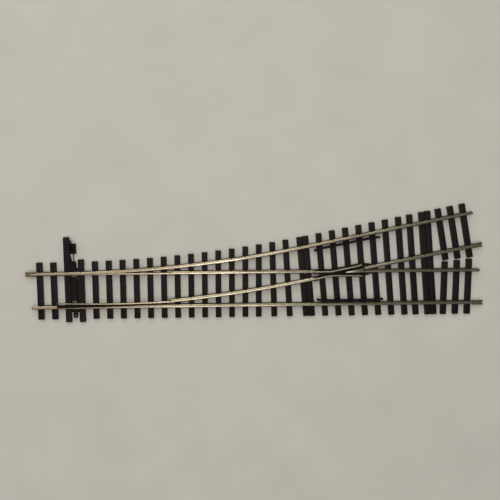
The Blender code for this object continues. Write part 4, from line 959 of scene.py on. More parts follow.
@dataclass(frozen=True)
class SleeperBed:
    """The moulded sleepers with their ribs, chairs, slide plates and headblocks."""

    plan: TrackPlan
    width: float = 5.8 * MM
    pitch: float = 13.55 * MM
    first: float = 8.3 * MM
    plain_count: int = 17
    low_end: float = -29 * MM
    high_reach: float = 28 * MM
    fan_pitch: float = 15.45 * MM
    fan_count: int = 2
    double_after_fan: float = 19.4 * MM
    double_spread: float = 3.1 * MM
    crossing_gap: float = 16.6 * MM
    crossing_pitch: float = 13.65 * MM
    crossing_count: int = 7
    last_crossing_step: float = 11.6 * MM
    second_double_step: float = 15.5 * MM
    short_start: float = 415 * MM
    short_pitch: float = 12.5 * MM
    short_count: int = 3
    split_gap: float = 0.9 * MM
    long_headblock: int = 2
    short_headblock: int = 3
    headblock_low: float = -32 * MM
    long_headblock_high: float = 53.1 * MM
    short_headblock_high: float = 30.8 * MM
    long_headblock_holes: tuple[float, ...] = (-29.2 * MM,)
    short_headblock_holes: tuple[float, ...] = (-29.4 * MM, 27.6 * MM)
    drilled_sleeper: int = 2
    drilled_reach: float = 70.5 * MM
    hole_radius: float = 0.9 * MM
    blade_zone: tuple[float, float] = (25.5 * MM, 136.05 * MM)
    heel_x: float = 130.25 * MM
    wing_end: float = 329.5 * MM
    rib_half: float = 1.9 * MM
    rib_low: float = 1.0 * MM
    rib_high: float = 3.2 * MM
    foot_gap: float = 0.3 * MM
    chair_width: float = 1.2 * MM
    chair_plate_half: float = 1.6 * MM
    chair_clip: ChairBlock = ChairBlock(
        0.95 * MM, (1.8 * MM, 2.95 * MM), (0.2 * MM, 0.95 * MM), 0.16 * MM
    )
    chair_spike: ChairBlock = ChairBlock(
        0.55 * MM, (1.2 * MM, 2.2 * MM), (0.94 * MM, 1.32 * MM), 0.14 * MM
    )
    bolt_radius: float = 0.3 * MM
    bolt_reach: float = 2.6 * MM
    last_slide_plate: int = 8
    slide_half: float = 2.5 * MM
    slide_y: tuple[float, float] = (10.5 * MM, 14.6 * MM)
    pad_half: tuple[float, float] = (2 * MM, 1.7 * MM)
    stand_y: tuple[float, float] = (36.4 * MM, 46.6 * MM)
    stand_x: float = 44.4 * MM

    # -- where the sleepers lie

    def sleeper(
        self, x: float, turn: float, low: float | None = None, high: float | None = None
    ) -> Sleeper:
        """One sleeper that crosses the through track's outer rail at X.

        Args:
            x: where it crosses that rail.
            turn: how far it is turned from square.
            low: the Y of its near end, or nothing for the usual one.
            high: the Y of its far end, or nothing to reach beyond the branch.

        Returns:
            The sleeper.
        """
        start = Vector((x, -self.plan.rail_offset, 0))
        direction = Vector((-math.sin(turn), math.cos(turn), 0))
        near = ((self.low_end if low is None else low) - start.y) / direction.y
        if high is not None:
            return Sleeper(start, turn, near, (high - start.y) / direction.y)
        far = 0.0
        for _ in range(SOLVER_STEPS):
            point = start + far * direction
            far += self.plan.branch_y(point.x, 0.0) + self.high_reach - point.y
        return Sleeper(start, turn, near, far)

    def headblock(self, x: float, high: float, holes: tuple[float, ...]) -> Sleeper:
        """One of the two long sleepers beside the tie bar, with its holes."""
        plain = self.sleeper(x, 0.0, self.headblock_low, high)
        return Sleeper(plain.start, 0.0, plain.near, plain.far, holes)

    def plain_x(self, index: int) -> float:
        """The X of a square sleeper."""
        return self.first + index * self.pitch

    @property
    def first_double(self) -> float:
        """The X between the first pair of planks."""
        last = self.plain_x(self.plain_count - 1)
        return last + self.fan_count * self.fan_pitch + self.double_after_fan

    @property
    def last_crossing(self) -> float:
        """The X of the last sleeper before the second pair of planks."""
        run = self.crossing_gap + (self.crossing_count - 1) * self.crossing_pitch
        return self.first_double + run + self.last_crossing_step

    @property
    def second_double(self) -> float:
        """The X between the second pair of planks."""
        return self.last_crossing + self.second_double_step

    def toe_sleepers(self) -> list[Sleeper]:
        """The square sleepers, two of them headblocks, the fan and the first plank."""
        made = []
        for index in range(self.plain_count):
            x = self.plain_x(index)
            if index == self.long_headblock:
                made.append(self.headblock(x, self.long_headblock_high, self.long_headblock_holes))
            elif index == self.short_headblock:
                made.append(self.headblock(x, self.short_headblock_high, self.short_headblock_holes))
            else:
                made.append(self.sleeper(x, 0.0))
        turn = self.plan.branch_angle / 2
        last = self.plain_x(self.plain_count - 1)
        for step in range(1, self.fan_count + 1):
            x = last + step * self.fan_pitch
            made.append(self.sleeper(x, turn * step / (self.fan_count + 1)))
        made.append(self.sleeper(self.first_double - self.double_spread, turn))
        return made

    def crossing_sleepers(self) -> list[Sleeper]:
        """The slanted sleepers between the two pairs of planks."""
        turn = self.plan.branch_angle / 2
        made = [self.sleeper(self.first_double + self.double_spread, turn)]
        for index in range(self.crossing_count):
            x = self.first_double + self.crossing_gap + index * self.crossing_pitch
            one = self.sleeper(x, turn)
            if index == self.drilled_sleeper:
                reach = self.drilled_reach * math.cos(turn) - self.plan.rail_offset
                one = Sleeper(one.start, one.turn, one.near, one.far, (reach,))
            made.append(one)
        made.append(self.sleeper(self.last_crossing, turn))
        made.append(self.sleeper(self.second_double - self.double_spread, turn))
        return made

    def exit_sleepers(self) -> list[Sleeper]:
        """The last plank, and the short sleepers under each track beyond it."""
        plan = self.plan
        made = [self.sleeper(self.second_double + self.double_spread, plan.branch_angle / 2)]
        for index in range(self.short_count):
            distance = self.short_start + index * self.short_pitch
            made.append(self.sleeper(distance, 0.0, high=plan.bisector_y(distance) - self.split_gap))
            centre, turn = plan.branch_frame(distance)
            direction = Vector((-math.sin(turn), math.cos(turn), 0))
            near = 0.0
            for _ in range(SOLVER_STEPS):
                point = centre + near * direction
                near -= point.y - plan.bisector_y(point.x) - self.split_gap
            made.append(Sleeper(centre, turn, near, self.high_reach * math.cos(turn)))
        return made

    # -- where the rails sit on them

    def rail_lines(self, x: float, inner_from: float) -> list[RailLine]:
        """The rails near X."""
        offset = self.plan.rail_offset
        lines = [(-offset, None, BOTH_SIDES), (None, offset, BOTH_SIDES)]
        if x < inner_from:
            return lines
        if self.plan.wing_knuckle() < x < self.wing_end:
            spread = self.plan.flangeway + 2 * self.plan.half_head
            return [*lines, (offset - spread, None, (-1,)), (None, spread - offset, (1,))]
        return [*lines, (offset, None, BOTH_SIDES), (None, -offset, BOTH_SIDES)]

    def seats(self, sleeper: Sleeper, inner_from: float = 0.0) -> list[Seat]:
        """Each place where a rail crosses a sleeper."""
        found = []
        middle = sleeper.start + 2 * self.plan.rail_offset * sleeper.direction
        for through_y, branch_offset, sides in self.rail_lines(middle.x, inner_from):
            found.append(self.seat_on(sleeper, through_y, branch_offset, sides))
        return [seat for seat in found if sleeper.near < seat.along < sleeper.far]

    def seat_on(
        self,
        sleeper: Sleeper,
        through_y: float | None,
        branch_offset: float | None,
        sides: tuple[int, ...],
    ) -> Seat:
        """Where one line crosses a sleeper.

        Args:
            sleeper: the sleeper.
            through_y: the line's Y, if it runs with the through track.
            branch_offset: its offset from the branch centre line, if it runs with the branch.
            sides: the sides that get a chair.

        Returns:
            The seat.
        """
        along = 0.0
        point = sleeper.start
        for _ in range(SOLVER_STEPS):
            point = sleeper.start + along * sleeper.direction
            level = through_y if branch_offset is None else self.plan.branch_y(point.x, branch_offset)
            along += level - point.y
        heading = 0.0
        if branch_offset is not None:
            heading = self.plan.branch_frame(self.plan.branch_distance(point.x, branch_offset))[1]
        return Seat(point, heading, along, sides)

    # -- shapes

    def sleeper_shape(self, sleeper: Sleeper, seed: float) -> Shape:
        """One sleeper, chamfered, hollow underneath and drilled where it has holes."""
        half, top = self.width / 2, self.plan.sleeper_top
        if sleeper.holes:
            spots = [(y - sleeper.start.y) / sleeper.direction.y for y in sleeper.holes]
            holes = [Hole(0, spot, self.hole_radius) for spot in spots]
            outline = rectangle(-half, sleeper.near, half, sleeper.far)
            return slab(outline, 0, top, holes, corner=0.25 * MM, bevel=0.16 * MM).keep_grain(seed)
        shape = block((-half, sleeper.near, 0), (half, sleeper.far, top), 0.22 * MM, 2)
        under = min(shape.bm.faces, key=lambda face: face.calc_center_median().z)
        bmesh.ops.inset_region(shape.bm, faces=[under], thickness=0.8 * MM, use_even_offset=True)
        sunk = bmesh.ops.extrude_face_region(shape.bm, geom=[under, *under.edges])["geom"]
        verts = [item for item in sunk if isinstance(item, bmesh.types.BMVert)]
        bmesh.ops.translate(shape.bm, vec=(0, 0, 0.6 * MM), verts=verts)
        return shape.keep_grain(seed)

    def chair(self, sides: tuple[int, ...]) -> Shape:
        """A chair: a plate under the rail and, on each side, a clip with its spike head and bolt."""
        shape = Shape()
        top, reach = self.plan.sleeper_top, self.plan.half_foot + self.foot_gap + self.chair_width
        low_y = -reach if -1 in sides else -self.plan.half_foot + 0.1 * MM
        high_y = reach if 1 in sides else self.plan.half_foot - 0.1 * MM
        low = (-self.chair_plate_half, low_y, top - 0.05 * MM)
        high = (self.chair_plate_half, high_y, top + 0.26 * MM)
        shape.join(block(low, high, 0.08 * MM, 1, True))
        radius = self.bolt_radius
        bolt = lathe([(0, 0), (radius, 0), (radius, 0.27 * MM), (0, 0.3 * MM)], 6)
        for side in sides:
            shape.join(self.chair_clip.shape(side, top))
            shape.join(self.chair_spike.shape(side, top))
            shape.join(bolt, Matrix.Translation((0, side * self.bolt_reach, top + 0.9 * MM)))
        return shape

    def chairs(
        self, sleepers: Sequence[Sleeper], inner_from: float = 0.0, blades: bool = False
    ) -> Shape:
        """All the chairs on some sleepers, one side only where a blade or another rail is near.

        Args:
            sleepers: the sleepers that carry them.
            inner_from: the X from which the inner rails have chairs too.
            blades: whether the sides towards the blades are left clear in the blade zone.

        Returns:
            The chairs as one shape.
        """
        shape = Shape()
        kinds = {sides: self.chair(sides) for sides in (BOTH_SIDES, (-1,), (1,))}
        reach = self.plan.half_foot + self.foot_gap + self.chair_width / 2
        rail_room, chair_room = reach + self.chair_width / 2, 1.5 * self.chair_width
        for sleeper in sleepers:
            by_blades = blades and self.blade_zone[0] < sleeper.start.x < self.blade_zone[1]
            seats = self.seats(sleeper, inner_from)
            placed: list[float] = []
            for seat in seats:
                sides = []
                for side in seat.sides:
                    centre = seat.along + side * reach
                    if by_blades and side * seat.point.y < 0:
                        continue
                    others = [other.along for other in seats if other is not seat]
                    if any(abs(centre - other) < rail_room for other in others):
                        continue
                    if any(abs(centre - other) < chair_room for other in placed):
                        continue
                    placed.append(centre)
                    sides.append(side)
                if sides:
                    place = Matrix.Translation(seat.point) @ Matrix.Rotation(seat.heading, 4, "Z")
                    shape.join(kinds[tuple(sides)], place)
        return shape

    def rib(self, path: Sequence[Vector]) -> Shape:
        """The moulded rib that ties sleepers together under a rail."""
        section = Section.mirrored(
            [(self.rib_half, self.rib_low, 0.15 * MM, 1), (self.rib_half, self.rib_high, 0.25 * MM, 2)]
        )
        return section.along(path)

    def branch_rib(self, start_x: float, end_x: float, offset: float) -> Shape:
        """A rib under one of the branch's rails, between two X values."""
        plan = self.plan
        start, end = plan.branch_distance(start_x, offset), plan.branch_distance(end_x, offset)
        return self.rib(plan.branch_path(start, end, offset))

    def through_rib(self, start: float, end: float, y: float) -> Shape:
        """A rib under one of the through track's rails."""
        return self.rib(self.plan.through_path(start, end, y))

    def slide_plates(self) -> Shape:
        """The plates that the blades slide on, and the pads under their heels."""
        shape = Shape()
        plan, low = self.plan, self.plan.sleeper_top - 0.3 * MM
        high = plan.sleeper_top + 0.5 * MM
        half, (near, far), (pad_x, pad_y) = self.slide_half, self.slide_y, self.pad_half
        rounding = 0.14 * MM
        for index in range(self.long_headblock, self.last_slide_plate + 1):
            x = self.plain_x(index)
            bow = plan.branch_y(x, -plan.rail_offset) + plan.rail_offset
            for y0, y1 in ((near, far), (-far, -near + bow)):
                shape.join(block((x - half, y0, low), (x + half, y1, high), rounding))
        for y in (plan.rail_offset, plan.branch_y(self.heel_x, -plan.rail_offset)):
            start = (self.heel_x - pad_x, y - pad_y, low)
            shape.join(block(start, (self.heel_x + pad_x, y + pad_y, high), rounding))
        return shape

    def headblock_floor(self) -> Shape:
        """The plate between the headblocks, the lug for the lever bracket and the stop post."""
        left, right = self.plain_x(self.long_headblock), self.plain_x(self.short_headblock)
        edge = 22.3 * MM
        outline = [
            (left, -edge),
            (right, -edge),
            (right, edge),
            (41.6 * MM, edge),
            (40.2 * MM, 29 * MM),
            (38.4 * MM, 36.5 * MM),
            (left, 36.5 * MM),
        ]
        slot_half = (0.65 * MM, 0.8 * MM)
        slots = [Hole(45.35 * MM, y, half_sides=slot_half) for y in (17.9 * MM, 11.7 * MM)]
        shape = slab(outline, 0.4 * MM, 1.7 * MM, slots, bevel=0.08 * MM)
        lug_end = (self.stand_x, self.stand_y[1], 1.8 * MM)
        shape.join(block((left, self.stand_y[0], 0), lug_end, 0.15 * MM))
        shape.join(block((left, 46.2 * MM, 0.2 * MM), (39.8 * MM, 49.7 * MM, 5 * MM), 0.25 * MM, 2))
        cap = ((36.1 * MM, 46.9 * MM, 4.9 * MM), (39.1 * MM, 49 * MM, 5.35 * MM))
        shape.join(block(*cap, 0.14 * MM))
        return shape

    # -- pieces

    def build(self) -> None:
        """Builds the three lengths of bed, each as its sleepers and its chairs."""
        self.build_toe()
        self.build_crossing()
        self.build_exit()

    def length_of_bed(self, sleepers: Sequence[Sleeper], ribs: Sequence[Shape], seed: float) -> Shape:
        """Sleepers and ribs as one shape."""
        shape = Shape()
        for index, sleeper in enumerate(sleepers):
            shape.join(self.sleeper_shape(sleeper, seed + 0.31 * index), sleeper.place)
        for rib in ribs:
            shape.join(rib)
        return shape

    def publish_length(self, word: str, bed: Shape, chairs: Shape) -> None:
        """Makes one length's two pieces."""
        look = (self.plan, Body.TRACK, Slot.SLEEPER, SLEEPER_PLASTIC)
        bed.publish(f"{word}_sleepers", *look, f"bed_{word}")
        chairs.publish(f"{word}_chairs", *look)

    def build_toe(self) -> None:
        """The bed from the toe to the first plank."""
        plan, offset = self.plan, self.plan.rail_offset
        left, right = self.plain_x(self.long_headblock), self.plain_x(self.short_headblock)
        end = self.first_double - self.double_spread
        lean = math.tan(plan.branch_angle / 2)
        inner_end = end - 2 * offset * lean
        ribs = [
            self.through_rib(self.plain_x(0), left, -offset),
            self.through_rib(right, end, -offset),
            self.through_rib(self.plain_x(0), left, offset),
            self.branch_rib(right, end - 60 * MM * lean, offset),
            self.through_rib(self.heel_x, inner_end, offset),
            self.branch_rib(self.heel_x, inner_end, -offset),
        ]
        sleepers = self.toe_sleepers()
        bed = self.length_of_bed(sleepers, ribs, 0.0).join(self.headblock_floor())
        chairs = self.chairs(sleepers, self.blade_zone[1], blades=True).join(self.slide_plates())
        self.publish_length("toe", bed, chairs)

    def build_crossing(self) -> None:
        """The slanted bed under the crossing."""
        plan, offset = self.plan, self.plan.rail_offset
        low, high = self.first_double + self.double_spread, self.second_double - self.double_spread
        lean = math.tan(plan.branch_angle / 2)
        inner = 2 * offset * lean
        ribs = [
            self.through_rib(low, high, -offset),
            self.branch_rib(low - 61 * MM * lean, high - 85 * MM * lean, offset),
            self.through_rib(low - inner, high - inner, offset),
            self.branch_rib(low - inner, high - 1.5 * inner, -offset),
        ]
        spread = plan.flangeway + 2 * plan.half_head + self.rib_half
        left, throat, wide, right = 287 * MM, 298 * MM, 330 * MM, 345 * MM
        floor = [
            (left, plan.branch_y(left, -offset) - self.rib_half),
            (throat, offset - spread),
            (wide, offset - spread),
            (right, offset - self.rib_half / 2),
            (right, plan.branch_y(right, -offset) + self.rib_half / 2),
            (wide, plan.branch_y(wide, -offset) + spread),
            (throat, offset + self.rib_half),
            (left, offset + self.rib_half),
        ]
        sleepers = self.crossing_sleepers()
        bed = self.length_of_bed(sleepers, ribs, 7.0).join(slab(floor, 1.2 * MM, 2.9 * MM))
        self.publish_length("crossing", bed, self.chairs(sleepers))

    def build_exit(self) -> None:
        """The bed under the two exit tracks."""
        plan, offset = self.plan, self.plan.rail_offset
        low = self.second_double + self.double_spread
        last = self.short_start + (self.short_count - 1) * self.short_pitch
        lean = math.tan(plan.branch_angle / 2)
        ribs = [
            self.through_rib(low, last, -offset),
            self.through_rib(low - 2 * offset * lean, last, offset),
            self.branch_rib(low - 85 * MM * lean, plan.branch_point(last, offset).x, offset),
            self.branch_rib(low - 51 * MM * lean, plan.branch_point(last, -offset).x, -offset),
        ]
        sleepers = self.exit_sleepers()
        chairs = self.chairs(sleepers[:1])
        chair = self.chair(BOTH_SIDES)
        for index in range(self.short_count):
            distance = self.short_start + index * self.short_pitch
            for side in BOTH_SIDES:
                chairs.join(chair, Matrix.Translation((distance, side * offset, 0)))
                turn = Matrix.Rotation(plan.branch_angle, 4, "Z")
                place = Matrix.Translation(plan.branch_point(distance, side * offset))
                chairs.join(chair, place @ turn)
        self.publish_length("exit", self.length_of_bed(sleepers, ribs, 13.0), chairs)


# ------------------------------------------------------------------ rails


@dataclass(frozen=True)
class Switch:
    """The stock rails with their recesses, and the two planed blades that close into them."""

    plan: TrackPlan
    sections: RailSections
    tip: float = 25.5 * MM
    tip_width: float = 0.7 * MM
    waist: float = 52 * MM
    waist_width: float = 0.75 * MM
    full: float = 87 * MM
    clearance: float = 0.25 * MM
    recess_end: float = 105 * MM
    heel_x: float = 130.25 * MM
    heel_end: float = 136.5 * MM
    tie_x: float = 42.175 * MM
    throw: float = 3.4 * MM
    tip_drop: float = 0.4 * MM
    drop_length: float = 14 * MM

    def blade_width(self, x: float) -> float:
        """The width that a planed blade has left at X."""
        if x < self.waist:
            share = (max(x, self.tip) - self.tip) / (self.waist - self.tip)
            return self.tip_width + share * (self.waist_width - self.tip_width)
        share = min((x - self.waist) / (self.full - self.waist), 1.0)
        return self.waist_width + share * (2 * self.plan.half_head - self.waist_width)

    def stations(self) -> list[float]:
        """The X values at which the planing changes, with a step just before the blades' tips."""
        shaped = [self.tip + (self.recess_end - self.tip) * i / 16 for i in range(17)]
        return [self.tip - 1.02 * MM, self.tip - 1 * MM, *shaped, self.waist, self.full]

    def back_face(self, x: float, route: Route) -> float:
        """The Y of a closed blade's back, against its stock rail."""
        gauge_face = self.plan.rail_offset - self.plan.half_head
        face = gauge_face if route is Route.THROUGH else self.plan.branch_y(x, -gauge_face)
        return face + route.value * self.blade_width(x)

    def recess(self, x: float, route: Route) -> float:
        """The Y to which a stock rail is cut back for a blade, or infinity where it is whole."""
        if self.tip - 1.01 * MM < x < self.recess_end:
            return self.back_face(x, route) + route.value * self.clearance
        return -route.value * math.inf

    def build(self) -> None:
        """Builds both stock rails and both blades."""
        plan, full = self.plan, self.sections.full()
        stops = self.stations()
        straight = full.along(plan.through_path(0, plan.through_length, -plan.rail_offset, stops))
        straight.limit(1, lambda x: self.recess(x, Route.BRANCH))
        straight.publish_rail("straight_stock_rail", plan, "stock_rail_straight")
        distances = [plan.branch_distance(x, plan.rail_offset) for x in stops]
        path = plan.branch_path(0, plan.branch_length, plan.rail_offset, distances)
        curved = full.along(path, seed=1.7)
        curved.limit(-1, lambda x: self.recess(x, Route.THROUGH))
        curved.publish_rail("curved_stock_rail", plan, "stock_rail_curved")
        self.build_blade(Route.THROUGH)
        self.build_blade(Route.BRANCH)

    def build_blade(self, route: Route) -> None:
        """One blade, planed to its stock rail, dipped at its tip and swung to where it stands."""
        plan, section = self.plan, self.sections.blade()
        stops = [x for x in self.stations() if x > self.tip]
        if route is Route.THROUGH:
            path = plan.through_path(self.tip, self.heel_end, plan.rail_offset, stops)
        else:
            ends = [plan.branch_distance(x, -plan.rail_offset) for x in (self.tip, self.heel_end)]
            inner = [plan.branch_distance(x, -plan.rail_offset) for x in stops]
            path = plan.branch_path(*ends, -plan.rail_offset, inner)
        blade = section.along(path, end_bevel=0, seed=3.1 * route.value)
        blade.limit(route.value, lambda x: self.back_face(x, route))
        for vert in blade.bm.verts:
            if vert.co.z > plan.head_z - self.tip_drop:
                share = max(0.0, 1 - (vert.co.x - self.tip) / self.drop_length)
                vert.co.z -= self.tip_drop * share**2
        if route is Route.BRANCH:
            heel = Vector((self.heel_x, plan.branch_y(self.heel_x, -plan.rail_offset), 0))
            swing = Matrix.Rotation(-self.throw / (self.heel_x - self.tie_x), 4, "Z")
            blade.moved(Matrix.Translation(heel) @ swing @ Matrix.Translation(-heel))
        word = "straight" if route is Route.THROUGH else "curved"
        body = Body.STRAIGHT_BLADE if route is Route.THROUGH else Body.CURVED_BLADE
        blade.publish(f"{word}_blade_rail", plan, body, Slot.RAIL, RAIL_METAL, f"blade_{word}")


@dataclass(frozen=True)
class Crossing:
    """The closure rails, the wing rails, the solid nose between them and the rails beyond."""

    plan: TrackPlan
    sections: RailSections
    heel_joint: float = 137.3 * MM
    insulation: float = 282.4 * MM
    insulation_half: float = 0.55 * MM
    wing_end: float = 325.5 * MM
    wing_flare: float = 4 * MM
    flare_angle: float = math.radians(9)
    nose_set_back: float = 1.2 * MM
    end: float = 331.4 * MM
    joint_half: float = 0.4 * MM
    foot_gap: float = 0.3 * MM

    def build(self) -> None:
        """Builds the rails from the heels to the exits."""
        plan, offset, full = self.plan, self.plan.rail_offset, self.sections.full()
        last = self.insulation - self.insulation_half
        straight = full.along(plan.through_path(self.heel_joint, last, offset), seed=5.3)
        straight.publish_rail("straight_closure_rail", plan, "closure_rail_straight")
        ends = [plan.branch_distance(x, -offset) for x in (self.heel_joint, last)]
        curved = full.along(plan.branch_path(*ends, -offset), seed=6.1)
        curved.publish_rail("curved_closure_rail", plan, "closure_rail_curved")
        upper, lower = self.wing_paths()
        wing = self.sections.wing()
        wing.along(upper, seed=7.7).publish_rail("branch_side_wing", plan, "wing_rail_branch_side")
        wing.along(lower, seed=8.3).publish_rail("through_side_wing", plan, "wing_rail_through_side")
        self.nose().publish_rail("crossing_vee", plan, "crossing_nose")
        self.build_exits()

    def wing_paths(self) -> tuple[list[Vector], list[Vector]]:
        """The centre lines of the wing rails, each bent at its knuckle and flared at its end."""
        plan, offset = self.plan, self.plan.rail_offset
        spread = plan.flangeway + 2 * plan.half_head
        start = self.insulation + self.insulation_half
        slope, meet = math.tan(plan.branch_angle), plan.crossing_x()
        rise = spread / math.cos(plan.branch_angle)
        along = Vector((math.cos(plan.branch_angle), math.sin(plan.branch_angle), 0))
        knuckle = Vector((meet - rise / slope, offset, 0))
        upper_end = knuckle + along * (self.wing_end - knuckle.x)
        flare = plan.branch_angle + self.flare_angle
        upper_tip = upper_end + self.wing_flare * Vector((math.cos(flare), math.sin(flare), 0))
        upper = [Vector((start, offset, 0)), knuckle, upper_end, upper_tip]
        low_y = offset - spread
        low_knuckle = Vector((meet - spread / slope, low_y, 0))
        low_end = Vector((self.wing_end, low_y, 0))
        out = Vector((math.cos(self.flare_angle), -math.sin(self.flare_angle), 0))
        low_start = Vector((start, low_y - (low_knuckle.x - start) * slope, 0))
        return upper, [low_start, low_knuckle, low_end, low_end + self.wing_flare * out]

    def nose(self) -> Shape:
        """The vee, forked where its two rails part, with its point dipped a little."""
        plan, offset, half = self.plan, self.plan.rail_offset, self.plan.half_head
        slope, meet = math.tan(plan.branch_angle), plan.crossing_x()
        lift = half / math.cos(plan.branch_angle)
        end = self.end - self.joint_half
        tip = meet - (half + lift) / slope + self.nose_set_back
        fork = meet + (half + lift) / slope
        back = math.sin(plan.branch_angle) * half

        def branch_line(x: float, shift: float) -> float:
            """The Y of the branch rail's line at X, shifted."""
            return offset + (x - meet) * slope + shift

        outline = [
            (tip, offset - half),
            (end, offset - half),
            (end, offset + half),
            (fork, offset + half),
            (end - back, branch_line(end, -lift)),
            (end - 3 * back, branch_line(end, lift)),
            (tip, branch_line(tip, lift)),
        ]
        shape = slab(outline, plan.foot_z, plan.head_z, corner=0.12 * MM, bevel=0.13 * MM, segments=2)
        for vert in shape.bm.verts:
            if vert.co.z > plan.head_z - 0.5 * MM:
                vert.co.z -= 0.3 * MM * max(0.0, 1 - (vert.co.x - tip) / (6 * MM)) ** 2
        return self.along_track(shape)

    @staticmethod
    def along_track(shape: Shape) -> Shape:
        """Turns a shape's grain so that the drawn lines run along the track."""
        layer = shape.bm.verts.layers.float_vector[GRAIN]
        for vert in shape.bm.verts:
            vert[layer] = (vert.co.y, vert.co.x, vert.co.z)
        return shape

    def build_exits(self) -> None:
        """The two rails beyond the nose, with their feet trimmed where they face each other."""
        plan, offset, full = self.plan, self.plan.rail_offset, self.sections.full()
        start = self.end + self.joint_half
        meet, lean = plan.crossing_x(), math.tan(plan.branch_angle / 2)
        parted = meet + 2 * (plan.half_foot + self.foot_gap) / math.tan(plan.branch_angle) + 2 * MM
        stops = [start + (parted - start) * i / 6 for i in range(1, 7)]
        low_foot = plan.foot_z + 0.8 * MM

        def middle(x: float, towards: int) -> float:
            """The Y of the line between the two feet, a little to one side, while they are close."""
            if x > parted:
                return towards * math.inf
            return offset + (x - meet) * lean - towards * self.foot_gap / 2

        through = full.along(plan.through_path(start, plan.through_length, offset, stops), seed=9.1)
        through.limit(1, lambda x: middle(x, 1), low_foot)
        through.publish_rail("through_exit_rail", plan, "exit_rail_through")
        distances = [plan.branch_distance(x, -offset) for x in (start, *stops)]
        path = plan.branch_path(distances[0], plan.branch_length, -offset, distances[1:])
        branch = full.along(path, seed=10.7)
        branch.limit(-1, lambda x: middle(x, -1), low_foot)
        branch.publish_rail("branch_exit_rail", plan, "exit_rail_branch")


@dataclass(frozen=True)
class CheckRails:
    """The black check rails beside both stock rails, with a bracket at each sleeper."""

    plan: TrackPlan
    bed: SleeperBed
    width: float = 2 * MM
    height: float = 3.5 * MM
    length: float = 67.5 * MM
    flare: float = 6 * MM
    flare_angle: float = math.radians(9)
    through_start: float = 283.6 * MM
    branch_start: float = 280.2 * MM

    def build(self) -> None:
        """Builds both check rails."""
        plan = self.plan
        gap = plan.half_head + plan.flangeway + self.width / 2
        out = self.flare * math.tan(self.flare_angle)
        y = -plan.rail_offset + gap
        first, last = self.through_start, self.through_start + self.length
        path = [
            Vector((first, y + out, 0)),
            Vector((first + self.flare, y, 0)),
            Vector((last - self.flare, y, 0)),
            Vector((last, y + out, 0)),
        ]
        through = self.bar(path)
        self.add_brackets(through, y, None, 1, (first, last))
        black = (plan, Body.TRACK, Slot.MOULDING, BLACK_MOULDING)
        through.publish("through_check_rail", *black, "guard_rail_through")
        offset = plan.rail_offset - gap
        first = plan.branch_distance(self.branch_start, offset)
        last = first + self.length
        middle = plan.branch_path(first + self.flare, last - self.flare, offset)
        flared = offset - out
        path = [plan.branch_point(first, flared), *middle, plan.branch_point(last, flared)]
        branch = self.bar(path)
        span = (self.branch_start, self.branch_start + self.length)
        self.add_brackets(branch, None, offset, -1, span)
        branch.publish("branch_check_rail", *black, "guard_rail_branch")

    def bar(self, path: Sequence[Vector]) -> Shape:
        """The check rail itself, with a rounded top."""
        half, low = self.width / 2, self.plan.foot_z
        right = [(half, low, 0.12 * MM, 1), (half, low + self.height, 0.45 * MM, 3)]
        return Section.mirrored(right).along(path, end_bevel=0.15 * MM)

    def add_brackets(
        self,
        rail: Shape,
        through_y: float | None,
        offset: float | None,
        side: int,
        span: tuple[float, float],
    ) -> None:
        """Adds a sloped bracket on the far side of the check rail at each sleeper that it crosses."""
        half, top = self.width / 2, self.plan.sleeper_top
        near, far = sorted((side * (half - 0.1 * MM), side * (half + 0.75 * MM)))
        bracket = block((-0.8 * MM, near, top), (0.8 * MM, far, top + 1.7 * MM), 0.25 * MM, 2, True)
        foot = block((-1.4 * MM, -half, top - 0.05 * MM), (1.4 * MM, half, top + 0.4 * MM), 0.1 * MM)
        for sleeper in self.bed.crossing_sleepers():
            seat = self.bed.seat_on(sleeper, through_y, offset, BOTH_SIDES)
            if span[0] + 1 * MM < seat.point.x < span[1] - 1 * MM:
                place = Matrix.Translation(seat.point) @ Matrix.Rotation(seat.heading, 4, "Z")
                rail.join(bracket, place).join(foot, place)


# ------------------------------------------------------------------ joiners


